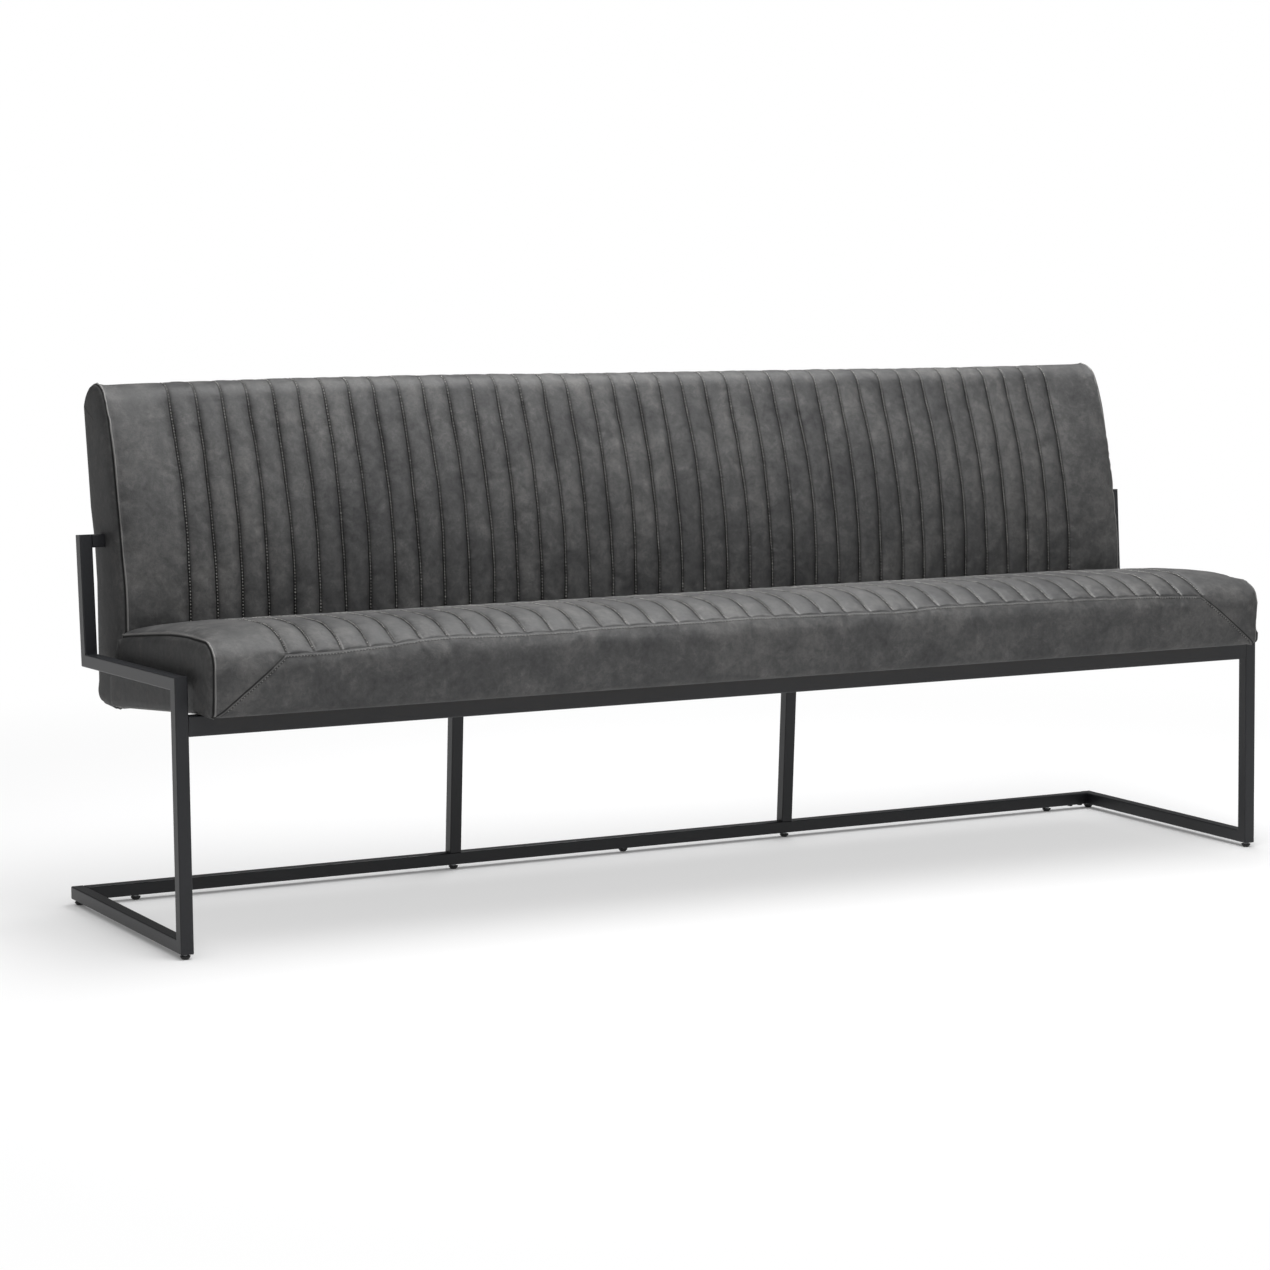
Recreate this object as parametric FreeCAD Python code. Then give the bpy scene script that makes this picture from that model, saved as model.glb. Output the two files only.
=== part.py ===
"""Dining sofa: a padded bench with a back, channelled in leather, on a square-tube steel frame.

Lengths are in millimetres. X runs along the bench, the front faces -Y and Z is up.
The origin is on the floor, below the middle of the bench's outline.
"""
import FreeCAD, Part
import math
import os

V = FreeCAD.Vector
os.makedirs("parts", exist_ok=True)

# Driving sizes of the frame
overall_width = 1920.0        # across the outer faces of the two side frames
tube = 20.0                   # side of the square tube
wall = 1.5                    # its wall
tube_edge = 2.0               # its outer edge radius
floor_rail_length = 472.0     # front to back, lying along the floor
leg_height = 406.5            # floor to the top of the front corner
frame_tilt = 1.3              # degrees that leg and seat rail lean back together
seat_rail_length = 397.0      # along its underside, from the leg's front face to the back corner
upright_length = 199.4        # along its rear face
upright_lean = 4.6            # degrees from plumb
front_rail_height = 30.0      # the front rail is a taller tube
front_rail_drop = 56.5        # top of the front corner down to the face that the seat board lies on
cap_thickness = 2.0           # plates that close the open tube ends

# Driving sizes of the glides
glide_gap = 8.0               # floor to the underside of the rails
pad_radius_top = 7.5
pad_radius_foot = 5.5
pad_flange = 1.6
pad_height = 5.0
pad_floor = 1.6               # plastic below the stud
pad_edge = 1.0                # slanted edge around the foot
stud_radius = 3.0
stud_length = 17.0
stud_chamfer = 0.6
insert_radius = 4.6
insert_length = 11.0
insert_flange = 0.8
insert_lip = 1.2              # how far the flange stands out around the barrel
thread_clearance = 0.05       # radial, stud in insert
glide_inset = 10.0            # from a rail's end to the glide's axis
centre_glide_lift = 1.8       # the middle glide is screwed in a little further
outer_glide_inset = 101.0     # outermost glides of the rear rail, from the frame's outer face

# Driving sizes of the bolted joint between rear rail and side frames
spigot_length = 60.0
spigot_play = 0.2
screw_places = (9.0, 30.0)    # from the side frame's inner face
screw_radius = 2.5
screw_head_radius = 4.5
screw_head_height = 2.6
screw_length = 13.3
screw_play = 0.2              # radial, in the rail's lower wall
screw_socket_radius = 1.5
screw_socket_depth = 1.4

# Driving sizes of the upholstery
side_gap = 20.7               # open space between side panel and side frame
boxing_thickness = 6.0        # how far the side panels swell outwards
boxing_edge = 7.0             # how far their rims are drawn in
channel_pitch = 42.6
plain_end = 103.6             # length of the seat and back that has no channels, at each end
groove_depth = 5.0
panel_thickness = 14.0        # padded, sewn channel panel
soft_gap = 0.3                # between neighbouring soft pieces
bedding_gap = 0.9             # between a channel panel and the foam below it
end_roll = 9.0                # rounding of the channel panels at their ends
corner_round = 25.0           # radius of the seat's front corners, seen from above
corner_lead = 0.3             # their arcs run out this far outside the padding
end_sink = 19.0               # how far the seat's ends drop towards the back
end_sink_run = 75.0           # length over which they drop, at each end
end_sink_start = 155.0        # where the drop starts, behind the furthest forward point
end_slope = 14.0              # run over which the plain ends dip into the first and last seam
board_thickness = 12.0
board_inset = 18.0            # boards end this far inside the padded core
board_play = 0.5
board_front_inset = 15.0      # seat board's front edge behind the front of the seat
back_board_top_gap = 26.0     # back board ends this far below the middle of the top roll
rear_rail_cover = 2.9         # padding behind the rear seat rail
seam_step = 1.0               # degrees that a channel panel ends short of its seam
foot_step = 0.2               # the same where the back's channels meet the seat
cloth_thickness = 1.0
cloth_inset = 2.0             # the cloth ends this far inside the boards
cloth_lift = 0.5              # its front edge lies this far below the seat board

# Driving sizes of the seat's side outline
seat_front = -45.0            # furthest forward, measured from the front face of the leg's foot
seat_thickness = 107.0        # its highest point above the face that the seat board lies on
seat_roll = 50.0              # radius of the waterfall front
seat_fall = 8.0               # drop from the highest point to where the back stands on the seat
front_seam_angle = 32.0       # degrees up the front roll where the sewn seam runs
fascia_roll = 14.0            # radius at the foot of the front
seam_lead = 34.5              # seam between seat and back, ahead of the side frame's rear corner
seam_knee_rise = 13.0         # height where that seam turns forward, above the seat board's bed
underside_drop = 34.0         # the seat's underside falls this much towards the rear

# Driving sizes of the back's side outline
back_lead = 73.5              # front face above the seat, ahead of the side frame's rear corner
back_arc = 700.0              # radius that the front face follows
back_arc_rise = 100.0         # height at which that arc is plumb, above the seat board's bed
back_arc_turn = 28.0          # degrees of arc up to the top roll
top_roll = 42.0               # radius of the rounded top
panel_foot_turn = -2.0        # degrees of the front arc where the channel panel starts
rear_seam_angle = 172.0       # degrees around the top roll where the channel panel ends
back_trail = 52.5             # plumb lower rear face, behind the side frame's rear corner
back_knee_rise = 150.0        # height where the rear face starts to lean, above the bed
heel_roll = 22.0              # radius at the bottom rear edge
back_drop = 37.0              # bottom of the back, below the bed

# Driving sizes of the fixings
bolt_radius = 3.0
bolt_head_radius = 5.5
bolt_head_height = 3.5
bolt_play = 0.3               # radial, in the rails' upper walls
bolt_head_play = 0.7          # radial, in the access holes of the lower walls
bolt_end_gap = 1.0            # bolt's tip below the top of its nut
bolt_inset = 133.0            # outermost bolts, from the ends of the padded core
nut_radius = 4.5
nut_play = 0.1
nut_flange_radius = 9.0
nut_flange = 1.5
nut_flange_play = 0.2
clip_inset = 213.0            # outermost clips, from the ends of the padded core
clip_play = 1.0
clip_width = 30.0
clip_gauge = 2.0
clip_wing = 18.0
clip_screw_radius = 2.0
clip_screw_length = 11.0
clip_head_radius = 3.6
clip_head_height = 1.6

# Derived places of the frame
half = overall_width / 2.0
inner = half - tube
rail_low = glide_gap
rail_high = glide_gap + tube
front_rail_top = leg_height - front_rail_drop


def turn(degrees):
    """Unit vectors along and square to a line that leans back by this many degrees."""
    a = math.radians(degrees)
    return V(0, math.sin(a), math.cos(a)), V(0, math.cos(a), -math.sin(a))


def meet(p, d, q, e):
    """Where two lines of the YZ plane cross."""
    k = d.y * e.z - d.z * e.y
    t = ((q.y - p.y) * e.z - (q.z - p.z) * e.y) / k
    return V(0, p.y + d.y * t, p.z + d.z * t)


leg_dir, leg_in = turn(frame_tilt)
up_dir, up_out = turn(upright_lean)
foot_corner = V(0, 0, rail_low)
knee_corner = foot_corner + leg_dir * ((leg_height - rail_low) / leg_dir.z)
knee_inner = knee_corner + leg_in * tube - leg_dir * tube
foot_inner = meet(V(0, 0, rail_high), V(0, 1, 0), foot_corner + leg_in * tube, leg_dir)
heel_corner = knee_corner - leg_dir * tube + leg_in * seat_rail_length
heel_inner = meet(knee_corner, leg_in, heel_corner - up_out * tube, up_dir)
top_rear = heel_corner + up_dir * upright_length
top_front = top_rear - up_out * tube

# Places and heights of the padded part, from the frame that carries it
seat_crown = front_rail_top + seat_thickness
seat_rear_height = seat_crown - seat_fall
seat_back_line = heel_corner.y - seam_lead
seam_knee_height = front_rail_top + seam_knee_rise
underside_rear = front_rail_top - underside_drop
back_front = heel_corner.y - back_lead
back_arc_foot = front_rail_top + back_arc_rise
back_rear = heel_corner.y + back_trail
back_rear_knee = front_rail_top + back_knee_rise
back_bottom = front_rail_top - back_drop

# Cross members: the rear posts lean so that the rear seat rail lies inside the padded shell
rear_rail_mid = floor_rail_length - tube / 2.0
front_rail_front = knee_corner.y * (front_rail_top - rail_low) / (leg_height - rail_low)
post_top = front_rail_top - tube
rear_seat_rail_mid = back_rear - rear_rail_cover - tube / 2.0
post_lean = math.degrees(math.atan2(rear_rail_mid - rear_seat_rail_mid, post_top - rail_high))
post_dir = turn(-post_lean)[0]
post_x = inner / 3.0

# Lengthwise places of the padded part
cushion_half = inner - side_gap - boxing_thickness - soft_gap
channel_count = int(round(2 * (cushion_half - plain_end) / channel_pitch))


def four_places(outermost):
    """Four evenly spaced places along the bench."""
    return [outermost * share for share in (-1.0, -1.0 / 3.0, 1.0 / 3.0, 1.0)]


bolt_places = four_places(cushion_half - bolt_inset)
clip_places = four_places(cushion_half - clip_inset)

# Middle of the whole outline, front to back, so that the origin lies below it
roll_y = (back_front + back_arc) - (back_arc - top_roll) * math.cos(math.radians(back_arc_turn))
roll_z = back_arc_foot + (back_arc - top_roll) * math.sin(math.radians(back_arc_turn))
middle = (seat_front + roll_y + top_roll) / 2.0

made = {}


def keep(name, shape):
    """Place one sub-part about the origin and write its file."""
    shape = shape.copy()
    shape.translate(V(0, -middle, 0))
    made[name] = shape
    shape.exportStep("parts/%s.step" % name)


def group(solids):
    return Part.makeCompound(solids)


def rounded_square(width, height, radius):
    """Closed outline about the origin in the XY plane, with rounded corners."""
    w = width / 2.0 - radius
    h = height / 2.0 - radius
    c = radius * math.sqrt(0.5)
    edges = []
    corners = [(w, h, 0), (-w, h, 90), (-w, -h, 180), (w, -h, 270)]
    ends = []
    for x, y, a in corners:
        s, m, e = [math.radians(a + k) for k in (0, 45, 90)]
        pts = [V(x + radius * math.cos(t), y + radius * math.sin(t), 0) for t in (s, m, e)]
        ends.append((pts[0], pts[2]))
        edges.append(Part.Arc(*pts).toShape())
    for i in range(4):
        edges.append(Part.LineSegment(ends[i][1], ends[(i + 1) % 4][0]).toShape())
    return Part.Wire(Part.__sortEdges__(edges))


def tube_between(start, end, width, height, side):
    """Hollow rectangular tube from start to end; side is the direction of its height."""
    along = end - start
    length = along.Length
    outer = Part.Face(rounded_square(width, height, tube_edge)).extrude(V(0, 0, length))
    hole = rounded_square(width - 2 * wall, height - 2 * wall, tube_edge - wall)
    inside = Part.Face(hole).extrude(V(0, 0, length))
    body = outer.cut(inside)
    z = along.normalize()
    y = side
    x = y.cross(z)
    body.Placement = FreeCAD.Placement(FreeCAD.Matrix(
        x.x, y.x, z.x, start.x,
        x.y, y.y, z.y, start.y,
        x.z, y.z, z.z, start.z,
        0, 0, 0, 1))
    return body


def prism(points, x0, x1):
    """Straight prism over a polygon of the YZ plane."""
    pts = [V(x0, p.y, p.z) for p in points]
    return Part.Face(Part.makePolygon(pts + [pts[0]])).extrude(V(x1 - x0, 0, 0))


def mitred(points, sign):
    """Side-frame tube whose side outline is a quadrilateral: first edge outer, third edge inner."""
    a, b, c, d = points
    along = (b - a).normalize()
    across = V(1, 0, 0).cross(along)
    if across.dot(c - b) < 0:
        across = across * -1
    x = sign * (half - tube / 2.0)
    start = a + across * (tube / 2.0) - along * tube
    end = b + across * (tube / 2.0) + along * tube
    start = V(x, start.y, start.z)
    end = V(x, end.y, end.z)
    body = tube_between(start, end, tube, tube, across)
    return body.common(prism(points, x - tube, x + tube))


def box(x0, x1, y0, y1, z0, z1):
    return Part.makeBox(x1 - x0, y1 - y0, z1 - z0, V(x0, y0, z0))


def rod(radius, height, place, direction=V(0, 0, 1)):
    return Part.makeCylinder(radius, height, place, direction)


# Places of the nine glides
def glide_places():
    front = glide_inset
    rear = floor_rail_length - glide_inset
    side = half - tube / 2.0
    outer = half - outer_glide_inset
    places = [
        ("front_left", -side, front, 0.0),
        ("front_right", side, front, 0.0),
        ("rear_left", -side, rear, 0.0),
        ("rear_right", side, rear, 0.0),
        ("rail_outer_left", -outer, rear_rail_mid, 0.0),
        ("rail_inner_left", -post_x, rear_rail_mid, 0.0),
        ("rail_centre", 0.0, rear_rail_mid, centre_glide_lift),
        ("rail_inner_right", post_x, rear_rail_mid, 0.0),
        ("rail_outer_right", outer, rear_rail_mid, 0.0),
    ]
    return places


def insert_hole(x, y):
    """Hole through the lower wall of a rail for a threaded insert."""
    return rod(insert_radius, wall + 2.0, V(x, y, rail_low - 1.0))


# Side frames
def side_frame(name, sign):
    floor_line = [foot_corner, V(0, floor_rail_length - cap_thickness, rail_low),
                  V(0, floor_rail_length - cap_thickness, rail_high), foot_inner]
    rail = mitred(floor_line, sign)
    for tag, x, y, lift in glide_places():
        if abs(x) > inner and x * sign > 0:
            rail = rail.cut(insert_hole(x, y))
    keep(name + "_floor_rail", rail)
    leg = mitred([foot_corner, knee_corner, knee_inner, foot_inner], sign)
    keep(name + "_front_leg", leg)
    seat_rail = mitred([knee_corner, heel_inner, heel_corner, knee_inner], sign)
    keep(name + "_seat_rail", seat_rail)
    low_rear = heel_corner
    trim = up_dir * cap_thickness
    upright = mitred([low_rear, top_rear - trim, top_front - trim, heel_inner], sign)
    keep(name + "_back_upright", upright)


def end_caps():
    floor_caps = []
    top_caps = []
    for sign in (-1, 1):
        x = sign * (half - tube / 2.0)
        plate = Part.Face(rounded_square(tube, tube, tube_edge)).extrude(V(0, 0, cap_thickness))
        back = plate.copy()
        back.rotate(V(0, 0, 0), V(1, 0, 0), -90)
        back.translate(V(x, floor_rail_length - cap_thickness, rail_low + tube / 2.0))
        floor_caps.append(back)
        top = plate.copy()
        top.rotate(V(0, 0, 0), V(1, 0, 0), -upright_lean)
        mid = (top_rear + top_front) * 0.5 - up_dir * cap_thickness
        top.translate(V(x, mid.y, mid.z))
        top_caps.append(top)
    keep("floor_rail_end_caps", group(floor_caps))
    keep("upright_end_caps", group(top_caps))


# Cross members
def bolt_holes(rail, y, height):
    """Bolt holes in the upper wall of a seat rail, and access holes for the heads in its lower wall."""
    for x in bolt_places:
        rail = rail.cut(rod(bolt_radius + bolt_play, wall + 2.0, V(x, y, front_rail_top - wall - 1.0)))
        rail = rail.cut(rod(bolt_head_radius + bolt_head_play, wall + 2.0, V(x, y, front_rail_top - height - 1.0)))
    return rail


def front_rail():
    y = front_rail_front + tube / 2.0
    z = front_rail_top - front_rail_height / 2.0
    rail = tube_between(V(-inner, y, z), V(inner, y, z), tube, front_rail_height, V(0, 0, 1))
    keep("front_seat_rail", bolt_holes(rail, y, front_rail_height))


def rear_floor_rail():
    z = rail_low + tube / 2.0
    rail = tube_between(V(-inner, rear_rail_mid, z), V(inner, rear_rail_mid, z), tube, tube, V(0, 0, 1))
    for tag, x, y, lift in glide_places():
        if abs(x) < inner:
            rail = rail.cut(insert_hole(x, y))
    for sign in (-1, 1):
        for place in screw_places:
            x = sign * (inner - place)
            rail = rail.cut(rod(screw_radius + screw_play, wall + 2.0, V(x, rear_rail_mid, rail_low - 1.0)))
    keep("rear_floor_rail", rail)


def posts():
    for name, sign in (("left", -1), ("right", 1)):
        low = V(sign * post_x, rear_rail_mid, rail_high)
        high = V(sign * post_x, rear_seat_rail_mid, post_top)
        side = V(0, post_dir.z, -post_dir.y)
        body = tube_between(low - post_dir * tube, high + post_dir * tube, tube, tube, side)
        front = min(rear_rail_mid, rear_seat_rail_mid) - 2 * tube
        rear = max(rear_rail_mid, rear_seat_rail_mid) + 2 * tube
        slab = box(-half, half, front, rear, rail_high, post_top)
        keep(name + "_rear_post", body.common(slab))


def back_rail():
    mid = (top_rear + top_front) * 0.5 - up_dir * (tube / 2.0)
    rail = tube_between(V(-inner, mid.y, mid.z), V(inner, mid.y, mid.z), tube, tube, up_dir)
    keep("back_cross_rail", rail)


def rear_seat_rail():
    reach = cushion_half - board_inset
    z = post_top + tube / 2.0
    y = rear_seat_rail_mid
    rail = tube_between(V(-reach, y, z), V(reach, y, z), tube, tube, V(0, 0, 1))
    keep("rear_seat_rail", bolt_holes(rail, y, tube))


def spigots():
    size = tube - 2 * wall - 2 * spigot_play
    z = rail_low + tube / 2.0
    blocks = []
    screws = []
    for sign in (-1, 1):
        x0 = sign * inner
        x1 = sign * (inner - spigot_length)
        block = box(min(x0, x1), max(x0, x1), rear_rail_mid - size / 2.0, rear_rail_mid + size / 2.0,
                    z - size / 2.0, z + size / 2.0)
        for place in screw_places:
            x = sign * (inner - place)
            block = block.cut(rod(screw_radius, size + 2.0, V(x, rear_rail_mid, z - size / 2.0 - 1.0)))
            shank = rod(screw_radius, screw_length, V(x, rear_rail_mid, rail_low))
            crown = V(x, rear_rail_mid, rail_low - screw_head_height)
            head = rod(screw_head_radius, screw_head_height, crown)
            socket = [crown + V(math.cos(math.radians(60 * k)), math.sin(math.radians(60 * k)), 0)
                      * screw_socket_radius for k in range(7)]
            head = head.cut(Part.Face(Part.makePolygon(socket)).extrude(V(0, 0, screw_socket_depth)))
            screws.append(shank.fuse(head))
        blocks.append(block)
    keep("rear_rail_spigots", group(blocks))
    keep("spigot_screws", group(screws))


# Levelling glides
def insert_solid(x, y):
    body = rod(insert_radius, insert_length, V(x, y, rail_low - insert_flange))
    flange = rod(insert_radius + insert_lip, insert_flange, V(x, y, rail_low - insert_flange))
    bore = rod(stud_radius + thread_clearance, insert_length + 2.0, V(x, y, rail_low - insert_flange - 1.0))
    return body.fuse(flange).cut(bore)


def glides():
    inserts = []
    for tag, x, y, lift in glide_places():
        inserts.append(insert_solid(x, y))
        low = lift
        top = low + pad_height
        outline = [V(0, 0, low), V(pad_radius_foot - pad_edge, 0, low), V(pad_radius_foot, 0, low + pad_edge),
                   V(pad_radius_top, 0, top - pad_flange), V(pad_radius_top, 0, top),
                   V(stud_radius, 0, top), V(stud_radius, 0, low + pad_floor), V(0, 0, low + pad_floor)]
        pad = Part.Face(Part.makePolygon(outline + [outline[0]])).revolve(V(0, 0, 0), V(0, 0, 1), 360)
        pad.translate(V(x, y, 0))
        keep("glide_pad_" + tag, pad)
        stud = rod(stud_radius, stud_length, V(x, y, low + pad_floor))
        rim = [e for e in stud.Edges if e.BoundBox.ZMin > low + pad_height]
        stud = stud.makeChamfer(stud_chamfer, rim)
        keep("glide_stud_" + tag, stud)
    keep("threaded_inserts", group(inserts))


# Side outlines of the upholstery, inset by d, as lists of edges through plain points
def polar(cy, cz, radius, degrees):
    """Point on a circle; 0 degrees faces the front and 90 degrees is straight up."""
    a = math.radians(degrees)
    return V(0, cy - radius * math.cos(a), cz + radius * math.sin(a))


def arc(cy, cz, radius, a0, a1):
    return Part.Arc(*[polar(cy, cz, radius, a) for a in (a0, (a0 + a1) / 2.0, a1)]).toShape()


def line(p, q):
    return Part.LineSegment(p, q).toShape()


def at_x(edges, x):
    wire = Part.Wire(edges)
    wire.translate(V(x, 0, 0))
    return wire


seat_roll_y = seat_front + seat_roll
seat_roll_z = seat_crown - seat_roll
arc_y = back_front + back_arc
back_shelf = polar(arc_y, back_arc_foot, back_arc, panel_foot_turn)


def seat_outline(d):
    """Whole side outline of the seat: top, waterfall front, underside and rear seam."""
    rear = back_front - soft_gap - d
    rear_top = V(0, rear, seat_rear_height - d)
    shelf = V(0, rear, back_shelf.z)
    crown = V(0, seat_roll_y, seat_crown - d)
    front_low = V(0, seat_front + d, front_rail_top + fascia_roll)
    foot = V(0, seat_front + fascia_roll, front_rail_top + d)
    under = V(0, front_rail_front + tube, front_rail_top + d)
    heel = V(0, seat_back_line - soft_gap - d, underside_rear + d)
    knee = V(0, seat_back_line - soft_gap - d, seam_knee_height)
    return [
        line(rear_top, crown),
        arc(seat_roll_y, seat_roll_z, seat_roll - d, 90, 0),
        line(V(0, seat_front + d, seat_roll_z), front_low),
        arc(seat_front + fascia_roll, front_rail_top + fascia_roll, fascia_roll - d, 0, -90),
        line(foot, under),
        line(under, heel),
        line(heel, knee),
        line(knee, shelf),
        line(shelf, rear_top),
    ]


def back_outline(d):
    """Whole side outline of the back: curved front, rounded top, leaning rear and heel."""
    knee = V(0, seat_back_line + soft_gap + d, seam_knee_height)
    heel = V(0, seat_back_line + soft_gap + d, back_bottom + d)
    front_low = polar(arc_y, back_arc_foot, back_arc - d, panel_foot_turn)
    roll_end = polar(roll_y, roll_z, top_roll - d, rear_seam_angle)
    rear_knee = V(0, back_rear - d, back_rear_knee)
    rear_low = V(0, back_rear - d, back_bottom + heel_roll)
    under = V(0, back_rear - heel_roll, back_bottom + d)
    return [
        line(heel, knee),
        line(knee, front_low),
        arc(arc_y, back_arc_foot, back_arc - d, panel_foot_turn, back_arc_turn),
        arc(roll_y, roll_z, top_roll - d, back_arc_turn, rear_seam_angle),
        line(roll_end, rear_knee),
        line(rear_knee, rear_low),
        arc(back_rear - heel_roll, back_bottom + heel_roll, heel_roll - d, 180, 270),
        line(under, heel),
    ]


def core(edges):
    """Padded core between the side panels."""
    return Part.Face(at_x(edges, -cushion_half)).extrude(V(2 * cushion_half, 0, 0))


def seat_core_edges():
    depth = panel_thickness + bedding_gap
    rear_top = V(0, back_front - soft_gap, seat_rear_height - depth)
    crown = V(0, seat_roll_y, seat_crown - depth)
    seam_in = polar(seat_roll_y, seat_roll_z, seat_roll - depth, front_seam_angle)
    seam_out = polar(seat_roll_y, seat_roll_z, seat_roll, front_seam_angle)
    edges = seat_outline(0.0)
    shelf = V(0, back_front - soft_gap, back_shelf.z)
    return [
        line(rear_top, crown),
        arc(seat_roll_y, seat_roll_z, seat_roll - depth, 90, front_seam_angle),
        line(seam_in, seam_out),
        arc(seat_roll_y, seat_roll_z, seat_roll, front_seam_angle, 0),
    ] + edges[2:8] + [line(shelf, rear_top)]


def back_core_edges():
    depth = panel_thickness + bedding_gap
    edges = back_outline(0.0)
    out_low = polar(arc_y, back_arc_foot, back_arc, panel_foot_turn)
    in_low = polar(arc_y, back_arc_foot, back_arc - depth, panel_foot_turn)
    in_end = polar(roll_y, roll_z, top_roll - depth, rear_seam_angle)
    out_end = polar(roll_y, roll_z, top_roll, rear_seam_angle)
    return edges[:2] + [
        line(out_low, in_low),
        arc(arc_y, back_arc_foot, back_arc - depth, panel_foot_turn, back_arc_turn),
        arc(roll_y, roll_z, top_roll - depth, back_arc_turn, rear_seam_angle),
        line(in_end, out_end),
    ] + edges[4:]


# Channel panels: a scalloped section carried along the side outline
def channel_section(place, normal):
    """Closed wire across the bench: flat inside, one shallow arc per sewn channel outside."""
    def at(x, height):
        p = place + normal * height
        return V(x, p.y, p.z)
    seam = channel_count * channel_pitch / 2.0
    end = cushion_half
    valley = -groove_depth
    c = end_roll * (1 - math.sqrt(0.5))
    dip_radius = (end_slope ** 2 + groove_depth ** 2) / (2.0 * groove_depth)
    dip = math.asin(end_slope / dip_radius) / 2.0
    dip_x = end_slope - dip_radius * math.sin(dip)
    dip_z = -dip_radius * (1 - math.cos(dip))

    def end_edges(s):
        low = at(s * end, -panel_thickness)
        shoulder = at(s * end, -end_roll)
        rim = at(s * (end - end_roll), 0.0)
        brink = at(s * (seam + end_slope), 0.0)
        return [
            line(low, shoulder),
            Part.Arc(shoulder, at(s * (end - c), -c), rim).toShape(),
            line(rim, brink),
            Part.Arc(brink, at(s * (seam + dip_x), dip_z), at(s * seam, valley)).toShape(),
        ]
    edges = end_edges(-1)
    for k in range(channel_count):
        x0 = -seam + k * channel_pitch
        x1 = x0 + channel_pitch
        edges.append(Part.Arc(at(x0, valley), at((x0 + x1) / 2.0, 0.0), at(x1, valley)).toShape())
    edges.extend(reversed(end_edges(1)))
    edges.append(line(at(end, -panel_thickness), at(-end, -panel_thickness)))
    return Part.Wire(edges)


def seat_channel_panel():
    rear = back_front - soft_gap
    slope = math.atan2(seat_crown - seat_rear_height, rear - seat_roll_y)
    up = V(0, math.sin(slope), math.cos(slope))
    stations = []
    for share in (0.0, 0.5, 1.0):
        y = rear + (seat_roll_y - rear) * share
        z = seat_rear_height + (seat_crown - seat_rear_height) * share
        stations.append((V(0, y, z), up if share < 1.0 else V(0, 0, 1)))
    steps = 4
    for k in range(1, steps + 1):
        a = 90 + (front_seam_angle + seam_step - 90) * k / float(steps)
        p = polar(seat_roll_y, seat_roll_z, seat_roll, a)
        stations.append((p, (p - V(0, seat_roll_y, seat_roll_z)).normalize()))
    return Part.makeLoft([channel_section(p, n) for p, n in stations], True, True)


def back_channel_panel():
    stations = []
    steps = 6
    for k in range(steps + 1):
        a = panel_foot_turn + foot_step + (back_arc_turn - panel_foot_turn - foot_step) * k / float(steps)
        p = polar(arc_y, back_arc_foot, back_arc, a)
        stations.append((p, (p - V(0, arc_y, back_arc_foot)).normalize()))
    steps = 7
    for k in range(1, steps + 1):
        a = back_arc_turn + (rear_seam_angle - seam_step - back_arc_turn) * k / float(steps)
        p = polar(roll_y, roll_z, top_roll, a)
        stations.append((p, (p - V(0, roll_y, roll_z)).normalize()))
    return Part.makeLoft([channel_section(p, n) for p, n in stations], True, True)


def side_panels(outline, holes):
    """Two boxing panels that swell outwards from the core's ends."""
    panels = []
    for sign in (-1, 1):
        x0 = sign * (cushion_half + soft_gap)
        x1 = sign * (cushion_half + soft_gap + boxing_thickness)
        panel = Part.makeLoft([at_x(outline(0.0), x0), at_x(outline(boxing_edge), x1)], True, True)
        for hole in holes:
            panel = panel.cut(hole)
        panels.append(panel)
    return group(panels)


def corner_cutters():
    """Pieces to take off the seat's ends: round front corners, and a top that drops to the back."""
    reach = boxing_thickness + 4 * soft_gap
    low = underside_rear - tube
    high = seat_crown + corner_round
    sink_radius = (end_sink_run ** 2 + end_sink ** 2) / (2.0 * end_sink)
    half_turn = math.asin(end_sink_run / sink_radius) / 2.0
    start_y = seat_front + end_sink_start
    rear_y = back_front
    fall = seat_fall * (rear_y - start_y) / (rear_y - seat_roll_y)
    top_z = seat_rear_height + end_sink + fall
    pieces = []
    for s in (-1, 1):
        cx = cushion_half - corner_round + corner_lead
        cy = seat_front + corner_round - corner_lead
        c = corner_round * math.sqrt(0.5)
        begin = V(s * cx, cy - corner_round, low)
        end = V(s * (cx + corner_round), cy, low)
        side = V(s * (cushion_half + reach), cy + reach, low)
        far = V(side.x, seat_front - reach, low)
        near = V(begin.x, far.y, low)
        edges = [Part.Arc(begin, V(s * (cx + c), cy - c, low), end).toShape(),
                 line(end, side), line(side, far), line(far, near), line(near, begin)]
        pieces.append(Part.Face(Part.Wire(edges)).extrude(V(0, 0, high - low)))
        x0 = cushion_half - end_sink_run
        mid = V(s * (x0 + sink_radius * math.sin(half_turn)), start_y,
                top_z - sink_radius * (1 - math.cos(half_turn)))
        begin = V(s * x0, start_y, top_z)
        end = V(s * cushion_half, start_y, top_z - end_sink)
        side = V(s * (cushion_half + reach), start_y, end.z - reach)
        far = V(side.x, start_y, high + end_sink)
        near = V(begin.x, start_y, far.z)
        edges = [Part.Arc(begin, mid, end).toShape(),
                 line(end, side), line(side, far), line(far, near), line(near, begin)]
        pieces.append(Part.Face(Part.Wire(edges)).extrude(V(0, rear_y - start_y, -(end_sink + fall))))
    return pieces


def drawn_in(shape):
    """Shape with the seat's ends rounded off."""
    for piece in corner_cutters():
        shape = shape.cut(piece)
    return shape


def rail_passage():
    """Square passage for the cross rail, a little larger than the tube."""
    size = tube + 2 * board_play
    mid = (top_rear + top_front) * 0.5 - up_dir * (tube / 2.0)
    p = [mid + up_dir * (size / 2.0) * i + up_out * (size / 2.0) * j
         for i, j in ((1, 1), (1, -1), (-1, -1), (-1, 1))]
    return prism(p, -half, half)


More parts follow.
